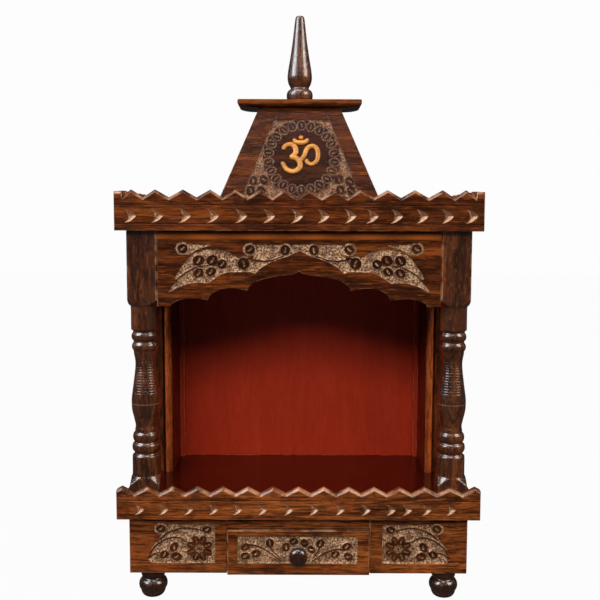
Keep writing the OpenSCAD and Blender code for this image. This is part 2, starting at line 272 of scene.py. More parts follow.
def dress(piece: bpy.types.Object, finish: "Finish", body: str, stands_for: Sequence[str]) -> bpy.types.Object:
    """Gives a piece its finish and its place on the frame, and reports it.

    Args:
        piece: The object.
        finish: Its finish.
        body: The CAD body that it rides on.
        stands_for: CAD nodes that it replaces.

    Returns:
        The same object.
    """
    bpy.context.scene.collection.objects.link(piece)
    piece.data.materials.clear()
    piece.data.materials.append(finish.material())
    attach(piece, body)
    if stands_for:
        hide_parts(*stands_for)
    log.info("%s: %d faces, %s", piece.name, len(piece.data.polygons), finish.name)
    return piece


def planed_copy(node: str, finish: "Finish", edge: float = 0.8, body: str = CASE) -> bpy.types.Object:
    """A copy of a CAD board with its arrises taken off, which stands for the board.

    Args:
        node: The CAD node.
        finish: The finish of the copy.
        edge: Width of a rounded arris.
        body: The CAD body that it rides on.

    Returns:
        The object.
    """
    work = bmesh.new()
    work.from_mesh(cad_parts[node].data)
    worn = work.faces.layers.float.new("worn")
    bmesh.ops.remove_doubles(work, verts=work.verts, dist=1e-6)
    bmesh.ops.dissolve_limit(work, angle_limit=math.radians(1), verts=work.verts, edges=work.edges)
    arrises = [e for e in work.edges if e.is_manifold and e.calc_face_angle(0) > math.radians(28)]
    rounded = bmesh.ops.bevel(work, geom=arrises, offset=edge * MM, segments=3, profile=0.5,
                              affect="EDGES", clamp_overlap=True)
    for face in rounded["faces"]:
        face[worn] = 1.0
    bmesh.ops.triangulate(work, faces=[f for f in work.faces if len(f.verts) > 4])
    mesh = bpy.data.meshes.new(node + "_wood")
    work.to_mesh(mesh)
    work.free()
    mesh.shade_smooth()
    flat_normals(mesh)
    return dress(bpy.data.objects.new(mesh.name, mesh), finish, body, [node])


def flat_normals(mesh: bpy.types.Mesh) -> None:
    """Weights each point's normal by the areas of its faces, so that large faces look flat.

    Args:
        mesh: The mesh to change.
    """
    count, corners = len(mesh.polygons), len(mesh.loops)
    normal, area = np.empty(count * 3, np.float32), np.empty(count, np.float32)
    total, vertex = np.empty(count, np.int32), np.empty(corners, np.int32)
    mesh.polygons.foreach_get("normal", normal)
    mesh.polygons.foreach_get("area", area)
    mesh.polygons.foreach_get("loop_total", total)
    mesh.loops.foreach_get("vertex_index", vertex)
    weighted = np.repeat(normal.reshape(-1, 3) * area[:, None] ** 2, total, axis=0)
    summed = np.zeros((len(mesh.vertices), 3))
    np.add.at(summed, vertex, weighted)
    summed /= np.linalg.norm(summed, axis=1, keepdims=True) + 1e-30
    mesh.normals_split_custom_set_from_vertices(summed.tolist())


# Finishes

class Tree:
    """A node tree with short ways to add to it."""

    def __init__(self, tree: bpy.types.NodeTree) -> None:
        """Keeps the tree."""
        self.tree = tree

    def add(self, kind: str, sockets: dict | None = None, **settings) -> bpy.types.Node:
        """Adds a node.

        Args:
            kind: Its type, without the ShaderNode prefix.
            sockets: Values or sockets for its inputs.
            settings: Its properties.

        Returns:
            The node.
        """
        prefix = "" if kind.startswith("NodeGroup") else "ShaderNode"
        node = self.tree.nodes.new(prefix + kind)
        for key, value in settings.items():
            setattr(node, key, value)
        for key, value in (sockets or {}).items():
            if isinstance(value, bpy.types.NodeSocket):
                self.tree.links.new(value, node.inputs[key])
            else:
                node.inputs[key].default_value = value
        return node

    def math(self, kind: str, first: Socket | float, second: Socket | float) -> Socket:
        """Result of a Math node with two inputs."""
        return self.add("Math", {0: first, 1: second}, operation=kind).outputs[0]

    def mix(self, share: Socket | float, first: Socket | tuple, second: Socket | tuple,
            kind: str = "MIX") -> Socket:
        """Colour from a Mix node, the first at share 0 and the second at share 1."""
        return self.add("Mix", {0: share, 6: first, 7: second}, data_type="RGBA",
                        blend_type=kind).outputs[2]

    def ramp(self, value: Socket, low: float, high: float, to_low: float = 0.0,
             to_high: float = 1.0) -> Socket:
        """Value moved smoothly from one range to another."""
        return self.add("MapRange", {0: value, 1: low, 2: high, 3: to_low, 4: to_high},
                        interpolation_type="SMOOTHSTEP").outputs[0]

    def noise(self, vector: Socket, scale: float, detail: float, twist: float = 0.0) -> Socket:
        """Value of a Noise Texture."""
        return self.add("TexNoise", {"Vector": vector, "Scale": scale, "Detail": detail,
                                     "Distortion": twist}).outputs[0]

    def stretch(self, vector: Socket, scale: tuple[float, float, float],
                shift: tuple[float, float, float] = (0, 0, 0)) -> Socket:
        """Vector from a Mapping node."""
        return self.add("Mapping", {"Vector": vector, "Location": shift, "Scale": scale}).outputs[0]


def effect(name: str, inputs: dict[str, str], outputs: dict[str, str]) -> tuple[Tree, dict, dict, bpy.types.NodeTree]:
    """Starts a node group for an effect that several finishes share.

    Args:
        name: Its name.
        inputs: Names and kinds of its inputs.
        outputs: Names and kinds of its outputs.

    Returns:
        Its tree, its input sockets, its output sockets and the group.
    """
    group = bpy.data.node_groups.new(name, "ShaderNodeTree")
    for side, names in (("INPUT", inputs), ("OUTPUT", outputs)):
        for key, kind in names.items():
            group.interface.new_socket(key, in_out=side, socket_type="NodeSocket" + kind)
    tree = Tree(group)
    start, end = tree.add("NodeGroupInput"), tree.add("NodeGroupOutput")
    return tree, dict(start.outputs.items()), dict(end.inputs.items()), group


def grain_effect() -> bpy.types.NodeTree:
    """Open-grained wood: broad dark and light bands over a middle tone, streaks about 2 mm apart,
    light flecks about 15 mm long, and short dark pores under 1 mm wide.

    Returns:
        The group.
    """
    tree, given, result, group = effect(
        "wood_grain", {"Vector": "Vector", "Dark": "Color", "Middle": "Color", "Light": "Color"},
        {"Color": "Color", "Height": "Float"})
    vector = given["Vector"]
    bands = tree.noise(vector, 1.0, 3.0, 0.8)
    glow = tree.noise(tree.stretch(vector, (0.7, 0.8, 0.8), (7.3, 2.1, 5.4)), 1.0, 3.0, 0.6)
    streaks = tree.noise(tree.stretch(vector, (2.0, 4.6, 4.6)), 1.0, 5.0, 0.4)
    flecks = tree.noise(tree.stretch(vector, (5.0, 8.0, 8.0), (1.9, 4.4, 8.8)), 1.0, 3.0)
    pores = tree.noise(tree.stretch(vector, (9.0, 14.0, 14.0)), 1.0, 2.0)
    mottle = tree.noise(tree.stretch(vector, (6.0, 0.8, 0.8), (2.7, 6.1, 0.4)), 1.0, 4.0, 0.5)
    colour = tree.mix(tree.ramp(bands, 0.44, 0.64, 0, 0.72), given["Middle"], given["Dark"])
    colour = tree.mix(tree.ramp(mottle, 0.5, 0.66, 0, 0.5), colour, given["Dark"])
    colour = tree.mix(tree.ramp(glow, 0.5, 0.72, 0, 0.6), colour, given["Light"])
    colour = tree.mix(tree.ramp(streaks, 0.46, 0.66, 0, 0.72), colour, given["Dark"])
    colour = tree.mix(tree.ramp(flecks, 0.54, 0.7, 0, 0.42), colour, given["Light"])
    colour = tree.mix(tree.ramp(pores, 0.52, 0.66, 0, 0.62), colour, given["Dark"])
    height = tree.math("SUBTRACT", tree.math("MULTIPLY", streaks, 0.5), tree.ramp(pores, 0.52, 0.66))
    tree.tree.links.new(colour, result["Color"])
    tree.tree.links.new(height, result["Height"])
    return group


def wear_effect() -> bpy.types.NodeTree:
    """Rubbed arrises: the mask named worn, broken up by noise, lets a lighter wood through.

    Returns:
        The group.
    """
    tree, given, result, group = effect(
        "rubbed_arrises", {"Vector": "Vector", "Color": "Color", "Bare": "Color", "Worn": "Float"},
        {"Color": "Color"})
    patchy = tree.ramp(tree.noise(given["Vector"], 80.0, 5.0), 0.4, 0.64, 0.0, 0.55)
    share = tree.math("MULTIPLY", given["Worn"], patchy)
    tree.tree.links.new(tree.mix(share, given["Color"], given["Bare"]), result["Color"])
    return group


def stipple_effect() -> bpy.types.NodeTree:
    """Carved places: the mask named stain darkens what stands and paints shade on the steep walls of
    chip notches, and the mask named ground shows pale bare wood that is dirty in specks about 1 mm
    wide and in wider patches, and paints a highlight on the lower facets of chip notches.

    Returns:
        The group.
    """
    tree, given, result, group = effect(
        "carved_places", {"Vector": "Vector", "Color": "Color", "Pale": "Color", "Dirt": "Color",
                          "Dark": "Color", "Ground": "Float", "Stain": "Float"}, {"Color": "Color"})
    # Darkens stained wood, and also the painted shade on the steep walls of chip notches.
    stained = tree.mix(tree.math("MULTIPLY", given["Stain"], 0.7), given["Color"], given["Dark"])
    specks = tree.ramp(tree.noise(given["Vector"], 560.0, 3.0), 0.4, 0.6, 0.12, 1.0)
    patches = tree.ramp(tree.noise(given["Vector"], 150.0, 4.0), 0.38, 0.6, 0.4, 1.0)
    # The ground mask also brings the painted highlight on chip notches.
    ground = tree.mix(tree.math("MULTIPLY", specks, patches), given["Dirt"], given["Pale"])
    tree.tree.links.new(tree.mix(given["Ground"], stained, ground), result["Color"])
    return group


def turning_effect() -> bpy.types.NodeTree:
    """Turning marks: fine uneven rings across the axis, as a height for the bump.

    Returns:
        The group.
    """
    tree, given, result, group = effect("turning_marks", {"Vector": "Vector", "Height": "Float", "Marks": "Float"},
                                        {"Height": "Float"})
    rings = tree.noise(tree.stretch(given["Vector"], (50, 50, 620)), 1.0, 3.0)
    both = tree.math("ADD", given["Height"], tree.math("MULTIPLY", rings, given["Marks"]))
    tree.tree.links.new(both, result["Height"])
    return group


class Grain(Enum):
    """Direction of the grain, as the stretch of the pattern along x, y and z."""

    ALONG_X = (13.0, 95.0, 95.0)
    ALONG_Y = (95.0, 13.0, 95.0)
    ALONG_Z = (95.0, 95.0, 13.0)


EFFECTS: dict[str, bpy.types.NodeTree] = {}
MATERIALS: dict[str, bpy.types.Material] = {}


@dataclass(frozen=True)
class Finish:
    """Stained and lacquered wood."""

    name: str
    slot: str = "stained_wood"
    grain: Grain = Grain.ALONG_X
    dark: tuple[float, float, float] = (0.013, 0.0035, 0.0014)
    middle: tuple[float, float, float] = (0.19, 0.046, 0.0095)
    light: tuple[float, float, float] = (0.38, 0.112, 0.024)
    dirt: tuple[float, float, float] = (0.045, 0.015, 0.006)
    # Bare wood; the painted light on the lit lower facets of chip notches uses this colour as well.
    bare: tuple[float, float, float] = (0.5, 0.26, 0.14)
    pale: tuple[float, float, float] = (0.6, 0.37, 0.22)
    rough: float = 0.3
    shine: float = 0.15
    coat: float = 0.15
    coat_rough: float = 0.12
    bump: float = 0.3
    marks: float = 0.0

    def material(self) -> bpy.types.Material:
        """The material of this finish, made on its first use."""
        if self.name in MATERIALS:
            return MATERIALS[self.name]
        if not EFFECTS:
            EFFECTS.update(grain=grain_effect(), wear=wear_effect(), carved=stipple_effect(),
                           turning=turning_effect())
        material = bpy.data.materials.new(self.name)
        material.use_nodes = True
        tree = Tree(material.node_tree)
        shader = material.node_tree.nodes["Principled BSDF"]
        place = tree.add("TexCoord").outputs["Object"]
        # The masks also hold painted light on chip notches: a highlight in the ground mask, light on the lit facet in
        # the mask of freshly cut wood, and shade on the steep wall in the stain mask.
        ground, worn, fresh_and_lit, stain_and_shade, warm = (tree.add("Attribute", attribute_name=mask).outputs["Fac"]
                                            for mask in ("ground", "worn", "fresh_and_lit", "stain_and_shade", "warm"))
        wood = tree.add("Group", node_tree=EFFECTS["grain"])
        self.set_sockets(tree, wood, Vector=tree.stretch(place, self.grain.value, (3.1, 1.7, 5.3)),
                         Dark=self.dark, Middle=self.middle, Light=self.light)
        rubbed = tree.add("Group", node_tree=EFFECTS["wear"])
        self.set_sockets(tree, rubbed, Vector=place, Bare=self.bare, Worn=worn,
                         # Freshly cut wood shows bare; on chip notches this mix also paints light on the lit lower
                         # facet.
                         Color=tree.mix(fresh_and_lit, tree.mix(warm, wood.outputs["Color"], (*self.light, 1)),
                                        (*self.bare, 1)))
        carved = tree.add("Group", node_tree=EFFECTS["carved"])
        self.set_sockets(tree, carved, Vector=place, Color=rubbed.outputs["Color"], Pale=self.pale,
                         Dirt=self.dirt, Dark=self.dark, Ground=ground, Stain=stain_and_shade)
        turned = tree.add("Group", node_tree=EFFECTS["turning"])
        self.set_sockets(tree, turned, Vector=place, Height=wood.outputs["Height"], Marks=self.marks)
        smear = tree.ramp(tree.noise(place, 26.0, 4.0), 0.35, 0.65, self.rough * 0.85, self.rough * 1.2)
        rough = tree.math("ADD", smear, tree.math("MULTIPLY", ground, 0.3))
        bump = tree.add("Bump", {"Strength": self.bump, "Distance": 0.0006, "Height": turned.outputs["Height"]})
        tree.tree.links.new(carved.outputs["Color"], shader.inputs["Base Color"])
        tree.tree.links.new(rough, shader.inputs["Roughness"])
        tree.tree.links.new(bump.outputs["Normal"], shader.inputs["Normal"])
        lacquer = tree.math("MULTIPLY", tree.math("SUBTRACT", 1.0, ground), self.coat)
        rubbed_coat = tree.math("MULTIPLY", tree.math("ADD", worn, fresh_and_lit), 0.7)
        coat = tree.math("MINIMUM", tree.math("ADD", lacquer, rubbed_coat), 1.0)
        tree.tree.links.new(coat, shader.inputs["Coat Weight"])
        shader.inputs["Specular IOR Level"].default_value = self.shine
        shader.inputs["Coat Roughness"].default_value = self.coat_rough
        MATERIALS[self.name] = material
        return material

    @staticmethod
    def set_sockets(tree: Tree, node: bpy.types.Node, **values: Socket | tuple | float) -> None:
        """Feeds a group's inputs by name, colours as three numbers."""
        for key, value in values.items():
            if isinstance(value, bpy.types.NodeSocket):
                tree.tree.links.new(value, node.inputs[key])
            else:
                node.inputs[key].default_value = (*value, 1) if isinstance(value, tuple) else value


FRONT_WOOD = Finish("front_wood")
UPPER_WOOD = Finish("upper_wood", middle=(0.07, 0.0155, 0.0034), light=(0.27, 0.066, 0.011))
TOWER_WOOD = replace(UPPER_WOOD, name="tower_wood", pale=(0.3, 0.17, 0.1), dirt=(0.06, 0.02, 0.009))
SIDE_WOOD = Finish("side_wood", grain=Grain.ALONG_Y, middle=(0.12, 0.029, 0.0065), light=(0.3, 0.085, 0.018))
UPRIGHT_WOOD = Finish("upright_wood", grain=Grain.ALONG_Z, middle=(0.07, 0.016, 0.004), light=(0.18, 0.045, 0.01))
TURNED_WOOD = Finish("turned_wood", grain=Grain.ALONG_Z, middle=(0.062, 0.016, 0.0042),
                     light=(0.19, 0.05, 0.011), rough=0.24, shine=1.0, coat=1.0, coat_rough=0.12, bump=0.35,
                     marks=0.6)
DARK_TURNED = Finish("dark_turned", slot="dark_turned_wood", grain=Grain.ALONG_Z, middle=(0.035, 0.01, 0.004),
                     light=(0.1, 0.03, 0.009), rough=0.2, shine=1.0, coat=1.0, coat_rough=0.06, marks=0.4)
BEAD_WOOD = Finish("bead_wood", grain=Grain.ALONG_Z, dark=(0.1, 0.02, 0.005), middle=(0.4, 0.08, 0.016),
                   light=(0.54, 0.13, 0.028))
RED_PANEL = Finish("red_panel", slot="red_lacquered_wood", grain=Grain.ALONG_Z, dark=(0.27, 0.02, 0.0075),
                   middle=(0.31, 0.0245, 0.009), light=(0.34, 0.029, 0.011), rough=0.42, shine=0.12, coat=0.05,
                   coat_rough=0.3, bump=0.05)
# Painted shade: the niche walls take the panel's red lacquer made darker, a shaded copy of it.
SHADED_RED_WALL = replace(RED_PANEL, name="shaded_red_wall", dark=(0.11, 0.008, 0.003), middle=(0.14, 0.0105, 0.004),
                   light=(0.16, 0.013, 0.005))
# Painted shade: the niche floor takes the same red lacquer made far darker, for the shade under the roof.
SHADED_RED_FLOOR = Finish("shaded_red_floor", slot="red_lacquered_wood", dark=(0.02, 0.0014, 0.0004), middle=(0.03, 0.0018, 0.0005),
                   light=(0.04, 0.0028, 0.0008), rough=0.2, shine=0.25, coat=0.45, coat_rough=0.07, bump=0.06)
INNER_WOOD = Finish("inner_wood", slot="plain_inner_wood", grain=Grain.ALONG_Y, dark=(0.16, 0.08, 0.035),
                    middle=(0.36, 0.2, 0.1), light=(0.46, 0.28, 0.15), rough=0.5, coat=0.05)
OCHRE_PAINT = Finish("ochre_paint", dark=(0.3, 0.11, 0.02), middle=(0.56, 0.24, 0.05), light=(0.68, 0.35, 0.1),
                     bare=(0.8, 0.55, 0.25), rough=0.35, coat=0.5, bump=0.2)


# Carved boards

@dataclass
class Carving:
    """Marks that the carver leaves on a board's face, as masks over the board's grid, with painted light, shade and
    highlight on chip notches.
    """

    a: Array
    b: Array
    deep: float = 1.9
    ground: Array = None
    raised: Array = None
    cut: Array = None
    fresh_and_lit: Array = None
    stain_and_shade: Array = None
    warm: Array = None
    painted_glint: Array = None

    def __post_init__(self) -> None:
        """Starts with a plain face."""
        for mask in ("ground", "raised", "cut", "fresh_and_lit", "stain_and_shade", "warm", "painted_glint"):
            setattr(self, mask, np.zeros(self.a.shape))

    def sink(self, outline: Path) -> None:
        """Lowers the ground inside an outline."""
        self.ground = np.maximum(self.ground, soft_step(outline_distance(self.a, self.b, outline), 0.45))

    def sink_oval(self, centre: tuple[float, float], half: tuple[float, float], turn: float = 0) -> None:
        """Lowers the ground inside an oval."""
        self.ground = np.maximum(self.ground, soft_step(oval_distance(self.a, self.b, centre, half, turn), 0.45))

    def leave(self, distance: Array) -> None:
        """Leaves stained wood standing where the distance is negative."""
        self.raised = np.maximum(self.raised, soft_step(distance, 0.4))
        self.stain_and_shade = np.maximum(self.stain_and_shade, soft_step(distance + 0.3, 0.4))

    def score(self, distance: Array, depth: float = 0.7) -> None:
        """Cuts a groove of a given depth where the distance is negative."""
        self.cut = np.maximum(self.cut, soft_step(distance, 0.4) * depth)

    def stem(self, path: Path, wide: float, thin: float | None = None) -> None:
        """A standing stem."""
        self.leave(stroke_distance(self.a, self.b, path, wide, thin))

    def bud(self, centre: tuple[float, float], half: tuple[float, float], turn: float = 0) -> None:
        """A standing oval with a short slit across its eye."""
        self.leave(oval_distance(self.a, self.b, centre, half, turn))
        t = math.radians(turn + 38)
        c, s = math.cos(t) * half[1] * 0.42, math.sin(t) * half[1] * 0.42
        slit = [(centre[0] - c, centre[1] - s), (centre[0] + s * 0.2, centre[1] - c * 0.2),
                (centre[0] + c, centre[1] + s)]
        self.score(stroke_distance(self.a, self.b, slit, 1.5, 0.8), 1.0)

    def petal(self, centre: tuple[float, float], half: tuple[float, float], turn: float) -> None:
        """A standing oval with a short slit along it."""
        self.leave(oval_distance(self.a, self.b, centre, half, turn))
        t = math.radians(turn + 12)
        c, s = math.cos(t) * half[0] * 0.4, math.sin(t) * half[0] * 0.4
        slit = [(centre[0] - c, centre[1] - s), centre, (centre[0] + c, centre[1] + s)]
        self.score(stroke_distance(self.a, self.b, slit, 1.5, 0.6), 0.9)

    def flower(self, centre: tuple[float, float], radius: float, petals: int = 8) -> None:
        """Petals round a middle disc with a ring cut in it."""
        for k in range(petals):
            t = 360 / petals * k + 22
            c, s = math.cos(math.radians(t)), math.sin(math.radians(t))
            middle = (centre[0] + c * radius * 0.63, centre[1] + s * radius * 0.63)
            self.leave(oval_distance(self.a, self.b, middle, (radius * 0.37, radius * 0.275), t))
            vein = [(centre[0] + c * radius * f, centre[1] + s * radius * f) for f in (0.45, 0.62, 0.8)]
            self.score(stroke_distance(self.a, self.b, vein, 1.3, 0.7), 0.25)
        self.leave(oval_distance(self.a, self.b, centre, (radius * 0.24, radius * 0.24)))
        self.score(np.abs(oval_distance(self.a, self.b, centre, (radius * 0.14, radius * 0.14))) - 0.45, 0.6)

    def chip(self, centre: tuple[float, float], size: float) -> None:
        """A chip-cut notch with tips at the upper left, the lower left and the right. Two slopes
        meet in a valley, each bounded outside by an arc, and a steep round cut stops them at the
        left. The depth is the least of the three, each by its distance from its own arc. Light and
        shade are painted on it: the lower facet, which faces up, gets freshly cut wood in full and a
        painted highlight, the upper facet a third as much, and the steep wall is marked as painted shade."""
        h = size / 2
        p, q = (self.a - centre[0]) / h, (self.b - centre[1]) / h
        upper = 2.32 - np.hypot(p + 1.065, q + 1.31)
        lower = 2.32 - np.hypot(p + 1.065, q - 1.31)
        slope, back = np.minimum(upper, lower) * 0.85, (np.hypot(p + 1.5, q) - 1.18) * 1.2
        depth = np.where(p > -0.88, np.minimum(slope, back) * h, -1)
        self.cut = np.maximum(self.cut, np.clip(depth, 0, None))
        shown = soft_step(0.1 - depth, 0.3)
        dark = back < slope
        # Painted light: the lower facet, which faces up, takes the freshly cut colour in full, the upper facet only
        # 0.3 of it.
        self.fresh_and_lit = np.maximum(self.fresh_and_lit, shown * ~dark * np.where(lower < upper, 1.0, 0.3))
        # Painted shade: the steep wall at the left, which faces away from the light, is marked in the stain mask.
        self.stain_and_shade = np.maximum(self.stain_and_shade, shown * dark)
        # Painted highlight: a pale spot on the lower facet, carried by the bare-ground mask.
        self.painted_glint = np.maximum(self.painted_glint, shown * ~dark * (lower < upper) * 0.35)

    def depth(self) -> Array:
        """Depth of the face: the lowered ground with its punch marks, and the cuts."""
        self.marks = punch_marks(self.a, self.b, 1.5)
        low = self.ground * (1 - self.raised) * self.deep
        return low * (1 - 0.42 * self.marks) + self.cut * (1 - self.ground * (1 - self.raised))

    def pale(self) -> Array:
        """Where bare pale wood shows: the lowered ground, the walls of what stands in it, and a
        trace of it in the cuts. It also carries a painted highlight on the lower facets of chip notches."""
        low = self.ground * (1 - self.raised)
        walls = 4 * low * (1 - low)
        traces = np.clip(self.cut / 0.5, 0, 1) * (self.stain_and_shade > 0.5) * 0.75
        return np.clip(low * (0.8 + 0.2 * self.marks) + 0.9 * walls + traces + self.painted_glint, 0, 1)


@dataclass
class Face:
    """Place of a board's front face: its origin and the directions along, up and into the board."""

    origin: tuple[float, float, float]
    up: tuple[float, float, float] = (0, 0, 1)

    def place(self, a: Array, b: Array, c: Array) -> Array:
        """Points at a along, b up and c into the board."""
        return (np.asarray(self.origin, float) + a[..., None] * np.array([1.0, 0, 0])
                + b[..., None] * np.asarray(self.up, float) + c[..., None] * np.array([0, 1.0, 0]))


@dataclass
class CarvedBoard:
    """A board whose front is a carved surface and whose outline runs between two curves."""

    face: Face
    across: Array
    low: Callable[[Array], Array]
    high: Callable[[Array], Array]
    thick: float
    rows: int
    carve: Callable[[Carving], None]
    arris: float = 0.8
    top_arris: float = 0.8
    finish: Finish = FRONT_WOOD

    def shell(self) -> Shell:
        """The closed skin: the carved grid, a rounded arris round it, the edges and the back.

        Returns:
            The shell, with the masks ground, worn and fresh; on chip notches ground also holds a painted highlight and
            fresh holds painted light.
        """
        a_out, nu, nv = self.across, len(self.across), self.rows
        a0, a1, r = a_out[0], a_out[-1], self.arris
        a_in = a0 + r + (a_out - a0) * (a1 - a0 - 2 * r) / (a1 - a0)
        v = np.linspace(0, 1, nv)[:, None]
        bottom, top = self.low(a_in) + r, self.high(a_in) - self.top_arris
        a = np.broadcast_to(a_in, (nv, nu)).copy()
        b = bottom + v * (top - bottom)
        carving = Carving(a, b)
        self.carve(carving)
        depth = carving.depth()
        b_out = self.low(a_out) + v * (self.high(a_out) - self.low(a_out))
        j, i = np.arange(nu), np.arange(1, nv - 1)
        loop = np.concatenate([j, i * nu + nu - 1, (nv - 1) * nu + j[::-1], i[::-1] * nu])
        wide = np.broadcast_to(a_out, (nv, nu)).ravel()[loop]
        tall = b_out.ravel()[loop]
        near = np.column_stack([a.ravel()[loop], b.ravel()[loop]])
        far = np.column_stack([wide, tall])
        soft = np.where((loop // nu == nv - 1), self.top_arris, r)
        flat = (soft > 1.5)[:, None]
        rings, depths = [], []
        for turn in (30, 60, 90):
            t = math.radians(turn)
            rings.append(near + (far - near) * np.where(flat, turn / 90, math.sin(t)))
            depths.append(soft * np.where(flat[:, 0], turn / 90, 1 - math.cos(t)))
        rings += [far, near + (far - near) * 0.5]
        depths += [np.full(len(loop), self.thick - 0.5), np.full(len(loop), self.thick)]
        front = self.face.place(a, b, depth).reshape(-1, 3)
        skin = [self.face.place(ring[:, 0], ring[:, 1], d) for ring, d in zip(rings, depths)]
        m, start = len(loop), nu * nv
        k, n = np.arange(m), (np.arange(m) + 1) % m
        blocks = [grid_quads(nv, nu), np.column_stack([start + k, start + n, loop[n], loop[k]])]
        for level in range(len(rings) - 1):
            s0, s1 = start + level * m, start + (level + 1) * m
            blocks.append(np.column_stack([s1 + k, s1 + n, s0 + n, s0 + k]))
        last = start + (len(rings) - 1) * m
        lower = last + j
        upper = last + (nu - 1) + (nv - 1) + (nu - 1 - j)
        blocks.append(np.column_stack([lower[2:-1], lower[1:-2], upper[1:-2], upper[2:-1]]))
        right, left = last + nu - 1 + i, last + 2 * (nu - 1) + (nv - 1) + (nv - 1 - i)
        blocks.append(np.concatenate([[lower[1], lower[0]], left, [upper[0], upper[1]]])[None])
        blocks.append(np.concatenate([[lower[-1], lower[-2], upper[-2], upper[-1]], right[::-1]])[None])
        edge = np.concatenate([np.ones(3 * m), np.zeros(2 * m)])
        plain = np.zeros(len(rings) * m)
        masks = {"ground": np.concatenate([carving.pale().ravel(), plain]),
                 "fresh_and_lit": np.concatenate([carving.fresh_and_lit.ravel(), plain]),
                 "warm": np.concatenate([carving.warm.ravel(), plain]),
                 "stain_and_shade": np.concatenate([(carving.stain_and_shade * carving.ground).ravel(), plain]),
                 "worn": np.concatenate([np.zeros(start), edge])}
        return Shell(np.vstack([front, *skin]), blocks, masks)


def even(start: float, end: float, step: float, knots: Sequence[float] = ()) -> Array:
    """Even places between two ends, with some knots among them."""
    return np.unique(np.round(np.concatenate([np.linspace(start, end, int((end - start) / step) + 1),
                                              np.asarray(knots, float)]), 3))


@dataclass
class Rail:
    """A toothed rail with a row of chip-cut notches between two scored lines."""

    node: str
    peaks: Sequence[float]
    notches: Sequence[float]
    notch: float
    notch_z: float
    scores: tuple[float, float]
    root: float
    tooth: float
    finish: Finish
    stop: float = 0.0

    def build(self) -> None:
        """Makes the rail."""
        low, high = (np.array(corner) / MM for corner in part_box(self.node))
        half = (high[0] - low[0]) / 2
        peaks = np.asarray(self.peaks, float)
        roots = (peaks[1:] + peaks[:-1]) / 2
        knots = [(p, self.root + self.tooth) for p in peaks] + [(p, self.root) for p in roots]
        gap = roots[0] - peaks[0]
        if self.stop:
            block = self.root + self.tooth * 0.8
            knots += [(-half, block), (self.stop - half - 0.4, block), (self.stop - half, self.root),
                      (half - self.stop, self.root), (half - self.stop + 0.4, block), (half, block)]
        else:
            knots += [(peaks[0] - gap, self.root), (peaks[-1] + gap, self.root)]
        knots = np.array(sorted(knots))
        inside = knots[np.abs(knots[:, 0]) <= half]

        def carve(work: Carving) -> None:
            """Scores the two lines and cuts the notches."""
            for z in self.scores:
                work.score(np.abs(work.b - z) - 0.35, 0.8)
            for x in self.notches:
                work.chip((x, self.notch_z), self.notch)

        board = CarvedBoard(Face((0, low[1], low[2])), even(-half, half, 0.75, inside[:, 0]),
                            lambda x: np.zeros(x.shape), lambda x: np.interp(x, knots[:, 0], knots[:, 1]),
                            high[1] - low[1], 60, carve, top_arris=3.2)
        make_piece(self.node + "_carved", board.shell(), self.finish, stands_for=[self.node])


